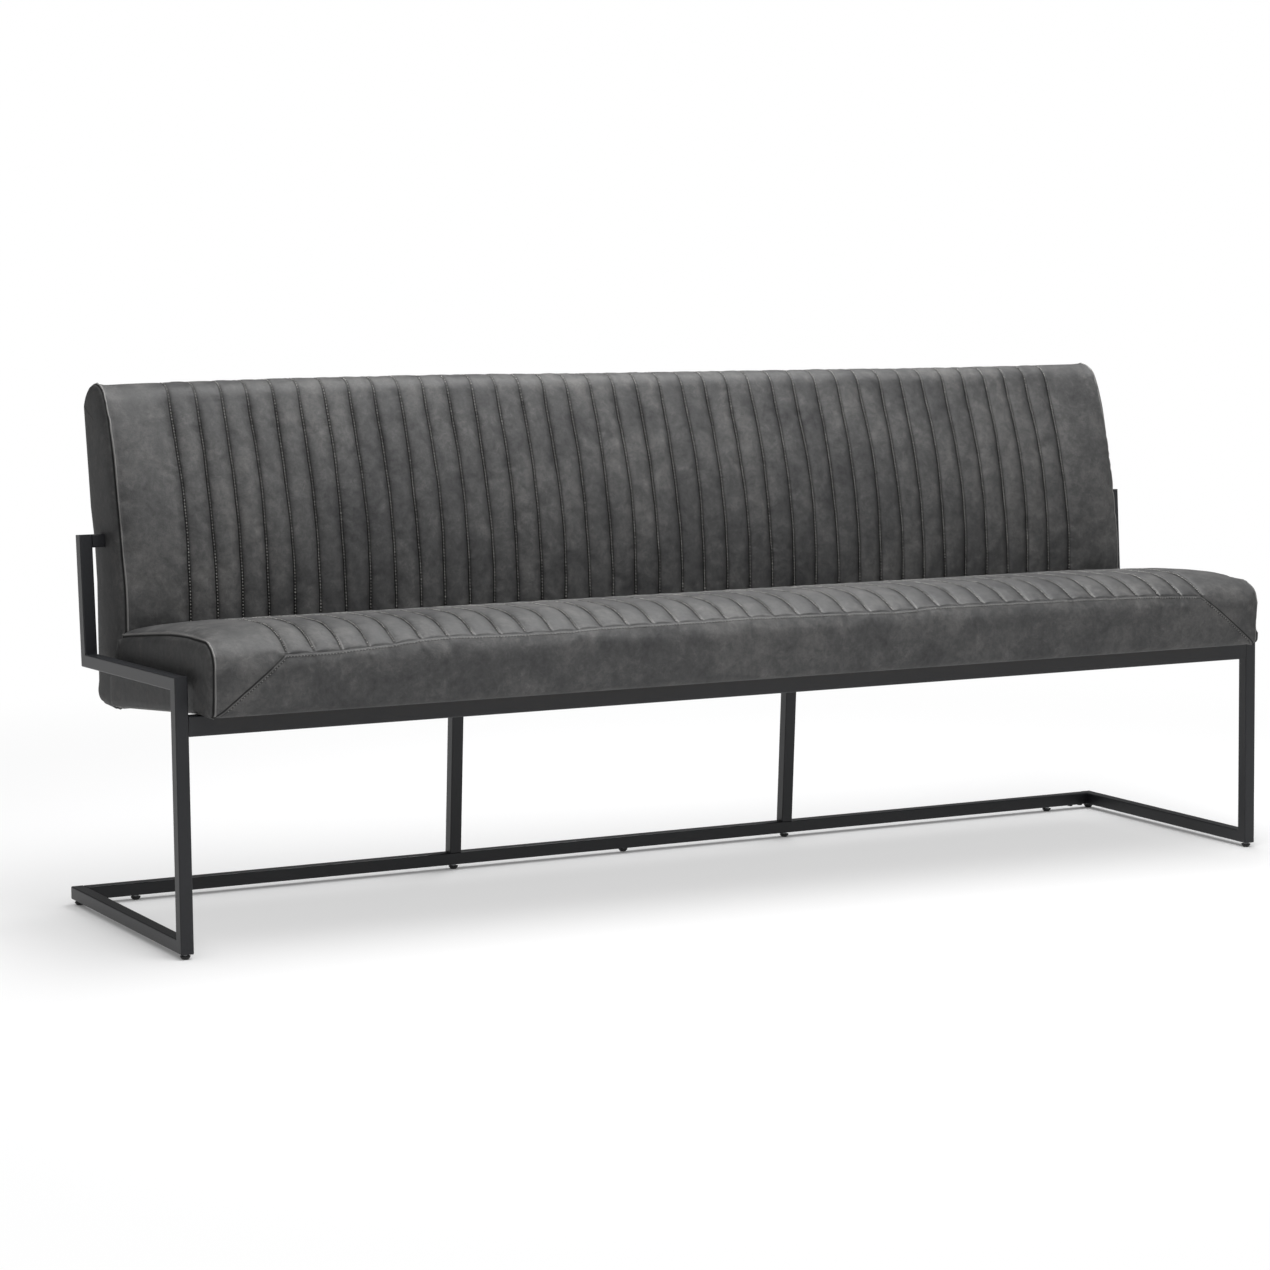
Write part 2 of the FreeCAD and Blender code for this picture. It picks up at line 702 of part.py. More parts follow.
board_half = cushion_half - board_inset
board_top = front_rail_top + board_thickness
board_rear = rear_seat_rail_mid + tube / 2.0
board_front = seat_front + board_front_inset


def back_board_corners(play):
    """Corners of the leaning back board, grown by the given play."""
    start = meet(top_rear, up_dir, V(0, 0, board_top - play), V(0, 1, 0))
    reach = (roll_z - back_board_top_gap - start.z) / up_dir.z + play
    a = start - up_out * play
    b = start + up_dir * reach - up_out * play
    c = b + up_out * (board_thickness + 2 * play)
    d = meet(c, up_dir, V(0, 0, board_top - play), V(0, 1, 0))
    return [a, b, c, d]


def upholstery():
    seat = core(seat_core_edges())
    pocket = box(-board_half - board_play, board_half + board_play, board_front - board_play, seat_back_line,
                 underside_rear - tube, board_top + board_play)
    seat = seat.cut(pocket)
    keep("seat_foam", drawn_in(seat))
    keep("seat_channel_panel", drawn_in(seat_channel_panel()))
    keep("seat_side_panels", group([drawn_in(panel) for panel in side_panels(seat_outline, []).Solids]))
    back = core(back_core_edges())
    well = box(-board_half - board_play, board_half + board_play, seat_back_line - tube, board_rear + board_play,
               back_bottom - tube, board_top + board_play)
    slot = prism(back_board_corners(board_play), -board_half - board_play, board_half + board_play)
    back = back.cut(well).cut(slot).cut(rail_passage())
    wing = tube / 2.0 + clip_wing + clip_play
    mid = (top_rear + top_front) * 0.5 - up_dir * (tube / 2.0)
    lift = clip_gauge + board_play
    for x in clip_places:
        p = [mid + up_dir * wing * i + up_out * j for i, j in (
            (1, tube / 2.0), (1, -tube / 2.0 - lift), (-1, -tube / 2.0 - lift), (-1, tube / 2.0))]
        reach = clip_width / 2.0 + clip_play
        back = back.cut(prism(p, x - reach, x + reach))
    keep("back_foam", back)
    keep("back_channel_panel", back_channel_panel())
    keep("back_side_panels", side_panels(back_outline, [rail_passage()]))


def boards():
    seat = box(-board_half, board_half, board_front, board_rear, front_rail_top, board_top)
    front_y = front_rail_front + tube / 2.0
    for x in bolt_places:
        for y in (front_y, rear_seat_rail_mid):
            seat = seat.cut(rod(nut_radius + nut_play, board_thickness + 2.0, V(x, y, front_rail_top - 1.0)))
            low = V(x, y, board_top - nut_flange)
            seat = seat.cut(rod(nut_flange_radius + nut_flange_play, nut_flange + 1.0, low))
    keep("seat_board", seat)
    back = prism(back_board_corners(0.0), -board_half, board_half)
    for p in clip_screw_axes():
        back = back.cut(rod(clip_screw_radius + thread_clearance, clip_screw_length + 1.0, p, up_out))
    keep("back_board", back)


def seat_fixings():
    """Bolts whose heads sit inside the rails, against the upper walls, and tee nuts in the board."""
    bolts = []
    nuts = []
    front_y = front_rail_front + tube / 2.0
    low = front_rail_top - wall
    for x in bolt_places:
        for y in (front_y, rear_seat_rail_mid):
            shank = rod(bolt_radius, wall + board_thickness - nut_flange - bolt_end_gap, V(x, y, low))
            head = rod(bolt_head_radius, bolt_head_height, V(x, y, low - bolt_head_height))
            bolts.append(shank.fuse(head))
            barrel = rod(nut_radius, board_thickness - nut_flange, V(x, y, front_rail_top))
            flange = rod(nut_flange_radius, nut_flange, V(x, y, board_top - nut_flange))
            bore = rod(bolt_radius + thread_clearance, board_thickness + 2.0, V(x, y, front_rail_top - 1.0))
            nuts.append(barrel.fuse(flange).cut(bore))
    keep("seat_bolts", group(bolts))
    keep("seat_tee_nuts", group(nuts))


def clip_screw_axes():
    """Foot of each clip screw, on the front face of its wing."""
    mid = (top_rear + top_front) * 0.5 - up_dir * (tube / 2.0)
    reach = tube / 2.0 + clip_gauge + (clip_wing - clip_gauge) / 2.0
    for x in clip_places:
        for s in (-1, 1):
            p = mid + up_dir * (reach * s) + up_out * (tube / 2.0 - clip_gauge)
            yield V(x, p.y, p.z)


def back_clips():
    """Bent strips and screws that hold the back board to the cross rail."""
    mid = (top_rear + top_front) * 0.5 - up_dir * (tube / 2.0)
    t = tube / 2.0
    g = clip_gauge
    play = spigot_play
    w = t + g + play
    outline = [(t + clip_wing, t), (t + clip_wing, t - g), (w, t - g), (w, -t - g - play),
               (-w, -t - g - play), (-w, t - g), (-t - clip_wing, t - g), (-t - clip_wing, t),
               (g - w, t), (g - w, -t - play), (w - g, -t - play), (w - g, t)]
    clips = []
    for x in clip_places:
        pts = [mid + up_dir * i + up_out * j for i, j in outline]
        clip = prism(pts, x - clip_width / 2.0, x + clip_width / 2.0)
        for p in clip_screw_axes():
            if abs(p.x - x) < clip_width:
                clip = clip.cut(rod(clip_screw_radius + thread_clearance, g + 2.0, p - up_out, up_out))
        clips.append(clip)
    keep("back_rail_clips", group(clips))
    screws = []
    for p in clip_screw_axes():
        head = rod(clip_head_radius, clip_head_height, p - up_out * clip_head_height, up_out)
        screws.append(head.fuse(rod(clip_screw_radius, clip_screw_length, p, up_out)))
    keep("back_clip_screws", group(screws))


def underside_cloth():
    """Thin cloth that closes the shell from below, with slits for the two posts."""
    t = cloth_thickness
    front = front_rail_front + tube + board_play
    slope_end = V(0, seat_back_line, underside_rear + t)
    rear_end = V(0, board_rear - cloth_inset, back_bottom + 2 * t)
    top = [V(0, front, front_rail_top - cloth_lift), slope_end, rear_end]
    low = [V(0, p.y, p.z - t) for p in reversed(top)]
    cloth = prism(top + low, -board_half + cloth_inset, board_half - cloth_inset)
    for sign in (-1, 1):
        x = sign * post_x
        reach = tube / 2.0 + 2 * board_play
        front = rear_seat_rail_mid - reach
        cloth = cloth.cut(box(x - reach, x + reach, front, board_rear + reach, back_bottom - tube, front_rail_top))
    keep("underside_cloth", cloth)


side_frame("left", -1)
side_frame("right", 1)
end_caps()
front_rail()
rear_floor_rail()
posts()
back_rail()
rear_seat_rail()
spigots()
glides()
upholstery()
boards()
seat_fixings()
back_clips()
underside_cloth()

for name in sorted(made):
    shape = made[name]
    b = shape.BoundBox
    print("%-32s solids %2d valid %s  X %.1f %.1f  Y %.1f %.1f  Z %.1f %.1f  vol %.0f" % (
        name, len(shape.Solids), shape.isValid(), b.XMin, b.XMax, b.YMin, b.YMax, b.ZMin, b.ZMax, shape.Volume))
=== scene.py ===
"""Dining sofa: leather seat and back with sewn channels, stitching, dust cloth and studio stage.

Run as a script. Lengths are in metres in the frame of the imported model. X runs along the bench,
the front faces -Y and Z is up.
"""
import math

import bpy
import bmesh
import numpy as np
from bpy.props import FloatProperty, FloatVectorProperty, IntProperty, PointerProperty
from mathutils import Matrix, Vector
from mathutils.bvhtree import BVHTree


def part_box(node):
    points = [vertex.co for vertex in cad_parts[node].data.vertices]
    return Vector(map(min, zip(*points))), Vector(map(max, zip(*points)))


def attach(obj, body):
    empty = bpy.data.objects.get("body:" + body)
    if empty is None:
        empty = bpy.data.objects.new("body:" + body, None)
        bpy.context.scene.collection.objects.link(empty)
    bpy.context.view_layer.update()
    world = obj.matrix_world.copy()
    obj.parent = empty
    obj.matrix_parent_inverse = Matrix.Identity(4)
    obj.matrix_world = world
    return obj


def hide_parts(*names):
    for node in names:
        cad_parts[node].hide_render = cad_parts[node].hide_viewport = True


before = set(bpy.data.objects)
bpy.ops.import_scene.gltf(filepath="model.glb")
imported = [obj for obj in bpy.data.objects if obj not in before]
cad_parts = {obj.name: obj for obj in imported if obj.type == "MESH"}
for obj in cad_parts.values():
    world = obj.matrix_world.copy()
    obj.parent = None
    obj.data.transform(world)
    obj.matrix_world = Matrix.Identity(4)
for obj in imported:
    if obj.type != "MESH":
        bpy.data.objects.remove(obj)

bl_info = {
    "name": "Dining Sofa",
    "version": (1, 0, 0),
    "blender": (4, 5, 0),
    "location": "View3D > Sidebar > Sofa",
    "description": "Builds the leather, stitching and finishes of a channel-sewn dining sofa",
    "category": "Add Mesh",
}

# Places read from the frame
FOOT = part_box("left_front_leg")[0].y  # front face of the legs' feet
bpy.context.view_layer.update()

BODY = "frame"  # the body that seat, back and dust cloth ride on

# Seams and sewn lines, in metres
SEAT_SEAM_X = 0.921  # end seams, from the bench's middle
BACK_SEAM_X = 0.9135
SEAT_BULGE = 0.008  # how far the side panels stand out past their seams
BACK_BULGE = 0.0068
END_WIDTH = 0.030  # the painted shade of the front seam deepens from here to its turn
CORNER_START = 0.79  # the front seam darkens from here to its turn
CORNER_X, CORNER_Z = 0.815, 0.4335  # the turn, from which it drops to the end seam
CORNER_RUN, CORNER_DROP, CORNER_LENGTH = 0.100, 0.0775, 0.1265
STITCH_ASIDE = 0.0017  # stitches lie this far to the right of their line
HALF_CHANNEL = 0.0213  # half of the distance between two sewn lines
SEAM_REACH = 0.05  # distances to a seam are told apart up to here
ON_LINE = 1e-4  # what is nearer to a sewn line is on it
NO_LENGTH = 1e-5  # shorter distances are taken as none


def srgb(code):
    """Linear colour from a six-digit hexadecimal one."""
    parts = [int(code[i:i + 2], 16) / 255.0 for i in (0, 2, 4)]
    return tuple(c / 12.92 if c <= 0.04045 else ((c + 0.055) / 1.055) ** 2.4 for c in parts)


class SofaSizes(bpy.types.PropertyGroup):
    """Sizes of the padding and the stitching."""
    pitch: FloatProperty(name="Channel pitch", description="Distance between sewn lines",
                         default=0.0426, unit="LENGTH")
    lines: IntProperty(name="Channels", default=38,
                       description="Number of channels on seat and back")
    groove: FloatProperty(name="Groove depth", default=0.0066, unit="LENGTH",
                          description="How deep the sewn lines draw the leather in")
    stitch: FloatProperty(name="Stitch pitch", description="Distance from stitch to stitch",
                          default=0.0050, unit="LENGTH")
    thread: FloatProperty(name="Thread radius", description="Radius of the sewing thread",
                          default=0.00080, unit="LENGTH")
    topstitch: FloatProperty(name="Topstitch distance", default=0.0050, unit="LENGTH",
                             description="From a seam to the row beside it")
    pressure: FloatProperty(name="Filling pressure", description="Pressure that swells the leather",
                            default=3.0)
    swell: FloatProperty(name="Most swelling", default=0.003, unit="LENGTH",
                         description="How far the filling may push the leather out")


class SofaColours(bpy.types.PropertyGroup):
    """Colours of leather, thread and steel."""
    leather_dark: FloatVectorProperty(name="Leather, dark", description="Deep tone of the leather",
                                      default=srgb("313132"), subtype="COLOR")
    leather_mid: FloatVectorProperty(name="Leather, middle", description="Main tone of the leather",
                                     default=srgb("434343"), subtype="COLOR")
    leather_light: FloatVectorProperty(name="Leather, light", default=srgb("5b5a59"),
                                       subtype="COLOR", description="Rubbed tone of the leather")
    thread: FloatVectorProperty(name="Thread", description="Colour of the sewing thread",
                                default=srgb("c0beba"), subtype="COLOR")
    steel: FloatVectorProperty(name="Steel", description="Powder coat on the tubes",
                               default=srgb("1f2023"), subtype="COLOR")


# Node helpers
class Nodes:
    """Short way to add and join the nodes of one material."""

    def __init__(self, name):
        self.material = bpy.data.materials.new(name)
        self.material.use_nodes = True
        self.tree = self.material.node_tree
        self.tree.nodes.clear()
        self.output = self.add("ShaderNodeOutputMaterial")
        self.place = self.add("ShaderNodeTexCoord").outputs["Object"]

    def add(self, kind, inputs=(), **settings):
        node = self.tree.nodes.new(kind)
        for key, value in settings.items():
            setattr(node, key, value)
        for key, value in dict(inputs).items():
            self.feed(node.inputs[key], value)
        return node

    def feed(self, socket, value):
        if isinstance(value, bpy.types.NodeSocket):
            self.tree.links.new(value, socket)
        elif isinstance(value, (tuple, list)) and len(value) == 3 and socket.type == "RGBA":
            socket.default_value = (*value, 1.0)
        else:
            socket.default_value = value

    def math(self, operation, a, b=0.0, c=0.0):
        node = self.add("ShaderNodeMath", {0: a, 1: b, 2: c}, operation=operation)
        return node.outputs[0]

    def product(self, result, *factors):
        for factor in factors:
            result = self.math("MULTIPLY", result, factor)
        return result

    def most(self, a, b):
        return self.math("MAXIMUM", a, b)

    def ramp(self, value, low, high, out_low, out_high, smooth=True):
        node = self.add("ShaderNodeMapRange", {"Value": value, "From Min": low, "From Max": high,
                                               "To Min": out_low, "To Max": out_high})
        node.interpolation_type = "SMOOTHSTEP" if smooth else "LINEAR"
        return node.outputs[0]

    def fade(self, value, full, none):
        """1 up to full, easing to 0 at none."""
        return self.ramp(value, full, none, 1.0, 0.0)

    def band(self, value, middle, full, none):
        """1 as far as full to both sides of the middle, easing to 0 at none."""
        return self.fade(self.math("ABSOLUTE", self.math("SUBTRACT", value, middle)), full, none)

    def noise(self, place, scale, detail=4.0, roughness=0.55, distortion=0.0):
        node = self.add("ShaderNodeTexNoise", {"Vector": place, "Scale": scale, "Detail": detail,
                                               "Roughness": roughness, "Distortion": distortion})
        return node.outputs["Fac"]

    def mix(self, share, a, b):
        node = self.add("ShaderNodeMix", data_type="RGBA")
        self.feed(node.inputs[0], share)
        self.feed(node.inputs[6], a)
        self.feed(node.inputs[7], b)
        return node.outputs[2]

    def attribute(self, name):
        return self.add("ShaderNodeAttribute", attribute_name=name).outputs["Fac"]

    def bump(self, height, strength, distance, under=None):
        inputs = {"Height": height, "Strength": strength, "Distance": distance}
        if under is not None:
            inputs["Normal"] = under
        return self.add("ShaderNodeBump", inputs).outputs[0]

    def surface(self, shader):
        self.tree.links.new(shader, self.output.inputs["Surface"])
        return self.material

    def coat(self, colour, roughness, normal, specular=0.5, metallic=0.0):
        """Finish the material with one principled shader."""
        shader = self.add("ShaderNodeBsdfPrincipled",
                          {"Base Color": colour, "Roughness": roughness, "Normal": normal,
                           "Specular IOR Level": specular, "Metallic": metallic})
        return self.surface(shader.outputs[0])


def leather(name, colours, sizes):
    """Mottled, slightly rubbed leather, with painted shade in the creases along its seams and sewn
    lines and painted highlights on the ridges beside them.
    """
    def lighter(times):
        return tuple(c * times for c in colours.leather_light)

    n = Nodes(name)
    place = n.place
    broad = n.noise(place, 5.0, 4.0, 0.55, 0.3)
    cloud = n.noise(place, 21.0, 8.0, 0.68, 0.5)
    mottle = n.noise(place, 95.0, 8.0, 0.78, 0.4)
    tone = n.math("MULTIPLY_ADD", cloud, 0.38, n.product(mottle, 0.36))
    tone = n.math("MULTIPLY_ADD", broad, 0.26, tone)
    darkest, lightest = 0.38, 0.64
    ramp = n.add("ShaderNodeValToRGB", {"Fac": tone})
    stops = ramp.color_ramp.elements
    stops[0].position, stops[0].color = darkest, (*colours.leather_dark, 1.0)
    stops[1].position, stops[1].color = lightest, (*colours.leather_light, 1.0)
    middle = stops.new(0.5)
    middle.color = (*colours.leather_mid, 1.0)
    colour = ramp.outputs["Color"]
    scuff = n.ramp(n.noise(place, 48.0, 9.0, 0.8, 1.2), 0.62, 0.74, 0.0, 1.0)
    colour = n.mix(n.product(scuff, 0.35), colour, lighter(1.35))
    vein = n.band(n.noise(place, 38.0, 5.0, 0.6, 1.6), 0.5, 0.0, 0.018)
    vein = n.product(vein, n.ramp(cloud, 0.45, 0.62, 0.0, 1.0))
    colour = n.mix(n.product(vein, 0.22), colour, lighter(1.6))

    # Beside a sewn line: painted shade on its left and in the line, painted shade in the needle's
    # holes and a painted highlight streak on its right
    across = n.attribute("line")
    right = n.ramp(n.attribute("turn"), 0.0, 0.02, 0.0, 1.0, False)
    panel = n.attribute("panel")
    valley_shade = n.product(n.fade(across, 0.001, 0.015), n.math("SUBTRACT", 1.0, right))
    line_shade = n.product(n.most(valley_shade, n.fade(across, 0.001, 0.0065)), panel)
    # Painted shade in the crease of the sewn line itself
    in_line_shade = n.product(n.fade(across, 0.0004, 0.0020), panel)
    # Painted shade along the row of needle holes on the right of each line
    stitch_hole_shade = n.product(n.band(across, 0.0018, 0.0006, 0.0018), right, panel)
    apart = n.add("ShaderNodeSeparateXYZ", {0: place}).outputs
    # Painted highlight streak on the right of each line, on the seat's front, in patches
    patchy = n.ramp(n.noise(place, 16.0, 2.0, 0.5), 0.40, 0.56, 0.15, 1.0)
    highlight_streak = n.product(n.band(across, 0.0042, 0.0005, 0.0020), right,
                       n.fade(apart["Y"], FOOT - 0.036, FOOT + 0.004), panel, patchy)

    # Along the seams: a dark line of painted crease shade, painted shade beside the side seams and
    # along the row of topstitching, and an edge lighter by wear and by a painted highlight
    front = n.attribute("front_seam")
    side = n.attribute("side_seam")
    at_corner = n.ramp(n.math("ABSOLUTE", apart["X"]), CORNER_START, CORNER_X, 0.45, 1.0)
    front_line = n.product(n.band(front, 0.0009, 0.0006, 0.0017), at_corner)
    in_seam_shade = n.most(front_line, n.band(side, 0.0008, 0.0008, 0.0020))
    near_seam_shade = n.band(side, 0.0, 0.0, 0.006)
    # Painted shade along the front seam's row of topstitching
    sewn = n.band(front, sizes.topstitch, 0.0004, 0.0011)
    # Edges beside the seams, lighter by wear and by painted highlight; the painted highlight
    # streaks join them
    wear_and_highlight = n.most(n.band(side, -0.0026, 0.0006, 0.0018),
                  n.product(n.band(front, 0.0027, 0.0004, 0.0018), 0.12))
    wear_and_highlight = n.most(wear_and_highlight, n.product(highlight_streak, 0.65))

    # Painted shade beside the sewn lines and the side seams, mixed towards near black
    shade = n.most(line_shade, near_seam_shade)
    colour = n.mix(n.product(shade, 0.42), colour, (0.008, 0.008, 0.0085))
    # Wear and painted highlight lighten the ridges and streaks
    colour = n.mix(n.product(wear_and_highlight, 0.70), colour, lighter(2.3))
    # Painted shade, near black, along the rows of needle holes and topstitching
    colour = n.mix(n.product(n.most(stitch_hole_shade, sewn), 0.65), colour, (0.006, 0.006, 0.006))
    # Painted shade, near black, in the creases of the sewn lines and seams
    crease = n.most(in_line_shade, in_seam_shade)
    colour = n.mix(n.product(crease, 0.90), colour, (0.003, 0.003, 0.003))

    grain = n.add("ShaderNodeTexVoronoi", {"Vector": place, "Scale": 620.0}, feature="SMOOTH_F1")
    pore = n.noise(place, 1500.0, 3.0, 0.6)
    squash = n.add("ShaderNodeMapping", {"Vector": place, "Scale": (12.0, 150.0, 150.0)})
    pucker = n.product(n.noise(squash.outputs[0], 1.0, 2.0, 0.5),
                       n.product(n.fade(across, 0.001, 0.016), panel))
    bumps = n.bump(n.noise(place, 34.0, 3.0, 0.5), 0.35, 0.004)
    bumps = n.bump(pucker, 0.5, 0.003, bumps)
    bumps = n.bump(grain.outputs["Distance"], 0.22, 0.0006, bumps)
    bumps = n.bump(pore, 0.12, 0.0003, bumps)
    return n.coat(colour, n.ramp(tone, darkest, lightest, 0.56, 0.70), bumps, specular=0.26)


def plain(name, colour, roughness, metallic=0.0, grain=900.0, depth=0.0002, strength=0.3,
          drift=0.15, specular=0.5):
    """One-tone finish with fine grain and a little drift in tone."""
    n = Nodes(name)
    place = n.place
    broad = n.noise(place, 12.0, 4.0)
    fine = n.noise(place, grain, 3.0, 0.6)
    deep = tuple(c * (1.0 - drift) for c in colour)
    pale = tuple(min(1.0, c * (1.0 + drift)) for c in colour)
    tone = n.math("MULTIPLY_ADD", broad, 0.7, n.product(fine, 0.3))
    base = n.mix(n.ramp(tone, 0.35, 0.65, 0.0, 1.0), deep, pale)
    rough = n.ramp(fine, 0.3, 0.7, roughness - 0.05, roughness + 0.05)
    return n.coat(base, rough, n.bump(fine, strength, depth), specular, metallic)


def plywood(name):
    """Birch plywood: long grain on the faces, thin plies at the edges."""
    n = Nodes(name)
    place = n.place
    stretch = n.add("ShaderNodeMapping", {"Vector": place, "Scale": (3.0, 60.0, 60.0)})
    grain = n.noise(stretch.outputs[0], 2.0, 5.0, 0.6, 0.6)
    colour = n.mix(n.ramp(grain, 0.35, 0.7, 0.0, 1.0), srgb("c9a877"), srgb("a98755"))
    return n.coat(colour, 0.6, n.bump(grain, 0.2, 0.0004))


def dress(names, material):
    """Give CAD nodes their finish."""
    for name in names:
        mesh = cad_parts[name].data
        mesh.materials.clear()
        mesh.materials.append(material)


# Profiles: outlines of the YZ plane, traced by short steps and turns of one vertex
def step_line(bm, vert, end, count):
    """Walk in equal steps to a point (y, z); returns the last vertex."""
    start = vert.co.copy()
    goal = Vector((0.0, *end))
    for k in range(1, count + 1):
        vert = bmesh.ops.extrude_vert_indiv(bm, verts=[vert])["verts"][0]
        vert.co = start.lerp(goal, k / count)
    return vert


def step_arc(bm, vert, centre, degrees, count):
    """Turn around a centre (y, z); a positive turn goes from the top towards the front."""
    out = bmesh.ops.spin(bm, geom=[vert], cent=(0.0, *centre), axis=(1.0, 0.0, 0.0),
                         dvec=(0.0, 0.0, 0.0), angle=math.radians(degrees), space=Matrix(),
                         steps=count, use_merge=False, use_normal_flip=False,
                         use_duplicate=False)
    return [v for v in out["geom_last"] if isinstance(v, bmesh.types.BMVert)][0]


def trace(start, moves):
    """Points of a closed profile.

    Moves are ("line", end, steps) or ("arc", centre, degrees, steps).
    """
    bm = bmesh.new()
    vert = bmesh.ops.create_vert(bm, co=(0.0, *start))["vert"][0]
    for move in moves:
        if move[0] == "line":
            vert = step_line(bm, vert, *move[1:])
        else:
            vert = step_arc(bm, vert, *move[1:])
    bm.verts.index_update()
    points = np.array([(v.co.y, v.co.z) for v in bm.verts])
    bm.free()
    return points[:-1]


def mm(y, z):
    """Point of a profile: millimetres behind the legs' front face and above the floor."""
    return (FOOT + y / 1000.0, z / 1000.0)


# Centre (y, z), as a point for mm, and radius in metres of the seat's front roll
SEAT_LIP = (-8.0, 417.7)
SEAT_LIP_RADIUS = 0.037
# Crown of the seat from the rear to the front: y, z in its middle, z at its end seams, steps
SEAT_CROWN = ((290.0, 450.8, 434.5, 6), (249.0, 456.4, 439.5, 6), (193.0, 463.8, 446.0, 8),
              (130.0, 470.0, 453.0, 9), (84.0, 472.2, 456.2, 6), (53.0, 472.6, 457.4, 5))

# Front of the seat with its seam low and high on the roll: steps of the crown's last arc, then
# (degrees, steps) around the roll. The seam comes after the second turn.
ROLL_LOW = (12, ((28.2, 5), (4.5, 2), (4.5, 2), (20.1, 5)))
ROLL_HIGH = (16, ((1.8, 1), (4.5, 2), (4.5, 2), (46.5, 5)))
# Share of the way from the low to the high place that the front seam has, by place along x
SEAM_RISE = ((-0.88, 0.0), (-0.815, 0.28), (-0.74, 0.27), (-0.69, 0.45), (-0.645, 0.62),
             (-0.598, 0.92), (-0.55, 1.04), (-0.45, 0.86), (-0.35, 0.86), (-0.30, 1.0),
             (-0.15, 1.0), (-0.045, 1.08), (0.12, 0.90), (0.234, 0.74), (0.295, 0.98),
             (0.42, 0.95), (0.49, 0.88), (0.58, 0.85), (0.64, 0.77), (0.70, 0.70),
             (0.76, 0.53), (0.79, 0.42), (0.82, 0.30), (0.88, 0.0))
# Row numbers of the seat's front seam, of the foot of the back's channels and of the seam behind
# its top, which comes after the front's 56 steps and 18 and 3 steps of the top roll
SEAT_SEAM_ROW = (sum(crown[-1] for crown in SEAT_CROWN) + ROLL_LOW[0]
                 + sum(turn[-1] for turn in ROLL_LOW[1][:2]))
BACK_FIRST_ROW = 13
BACK_SEAM_ROW = BACK_FIRST_ROW + 56 + 18 + 3
# How deep the back's end seams lie inside its side outline, in millimetres, by row number
BACK_END_SINK = ((0, 0.4), (13, 0.6), (22, 0.5), (27, 3.5), (32, 7.5), (38, 8.5), (45, 8.0),
                 (51, 5.0), (56, 1.0), (61, -3.0), (66, -5.0), (71, -4.5), (76, -2.5),
                 (80, -2.6), (84, -5.0), (88, -9.0), (93, -9.0), (100, -6.5), (104, -5.5),
                 (108, 2.5), (113, 2.5), (125, 3.0), (131, 3.0), (136, 0.6))
# How much higher the top of the back stands, by place along x
BACK_RISE = ((-0.9, 0.0), (-0.6, 0.0035), (-0.35, 0.0040), (-0.1, 0.0008), (0.2, -0.001),
             (0.55, -0.0035), (0.9, -0.004))


def seam_rise(x):
    """Share of the way up the roll of the front seam at a place along the bench."""
    return np.interp(x, *zip(*SEAM_RISE))


def seat_profile(roll):
    """Side outline of the seat in its middle: crown, waterfall front, underside, rear."""
    crown_steps, turns = roll
    moves = [("line", mm(y, z), count) for y, z, _, count in SEAT_CROWN]
    moves.append(("arc", mm(53.0, 322.6), 32.7, crown_steps))
    moves += [("arc", mm(*SEAT_LIP), turn, count) for turn, count in turns]
    moves += [
        ("line", mm(-45.0, 364.0), 7),
        ("arc", mm(-31.0, 364.0), 90.0, 4),
        ("line", mm(27.8, 350.4), 6),
        ("line", mm(370.6, 316.4), 24),
        ("line", mm(370.6, 363.0), 5),
        ("line", mm(331.6, 425.6), 9),
        ("line", mm(331.6, 445.0), 3),
    ]
    return trace(mm(331.6, 445.0), moves)


def seat_end_profile():
    """Side outline of the seat along its end seams, with as many points as the middle one."""
    moves = [("line", mm(y, z), count) for y, _, z, count in SEAT_CROWN]
    moves.append(("line", mm(-8.0, 457.0), 7))
    moves += [("arc", mm(-8.0, 422.0), turn, count) for turn, count in ((32.7, 5),) + ROLL_LOW[1]]
    moves += [
        ("line", mm(-41.0, 361.0), 7),
        ("arc", mm(-31.0, 361.0), 90.0, 4),
        ("line", mm(27.8, 350.8), 6),
        ("line", mm(370.2, 319.5), 24),
        ("line", mm(370.2, 362.6), 5),
        ("line", mm(334.4, 420.5), 9),
        ("line", mm(331.0, 429.0), 3),
    ]
    return trace(mm(331.0, 429.0), moves)


def back_profile():
    """Side outline of the back: curved front, rounded top, leaning rear."""
    roll = mm(451.0, 758.9)
    return trace(mm(371.4, 313.4), [
        ("line", mm(371.4, 363.2), 5),
        ("line", mm(332.43, 425.6), 8),
        ("arc", mm(1032.0, 450.0), -30.0, 56),
        ("arc", roll, -136.0, 18),
        ("arc", roll, -8.0, 3),
        ("line", mm(490.6, 751.2), 3),
        ("line", mm(458.0, 500.0), 20),
        ("line", mm(458.0, 335.0), 12),
        ("arc", mm(436.0, 335.0), -90.0, 6),
        ("line", mm(371.4, 313.4), 5),
    ])


def inward(points):
    """Unit normals of a closed profile that point into the padding."""
    ahead = np.roll(points, -1, axis=0) - np.roll(points, 1, axis=0)
    normal = np.stack([ahead[:, 1], -ahead[:, 0]], axis=1)
    normal /= np.linalg.norm(normal, axis=1)[:, None]
    centre = points.mean(axis=0)
    flip = np.sign(((centre - points) * normal).sum(axis=1).sum())
    return normal * flip


def run_along(points):
    """Length of the way from the first point to each point."""
    steps = np.linalg.norm(np.diff(points, axis=0), axis=1)
    return np.concatenate([[0.0], np.cumsum(steps)])


# Stations across one channel, from its line, and shares of the way from the last line to the
# end seam
CHANNEL_OFFSETS = (0.0, 0.0036, 0.0105, HALF_CHANNEL, 0.0318, 0.0388)
END_SHARES = (0.04, 0.095, 0.18, 0.31, 0.46, 0.60, 0.71, 0.80, 0.87, 0.915, 0.948, 0.972,
              0.988, 1.0)
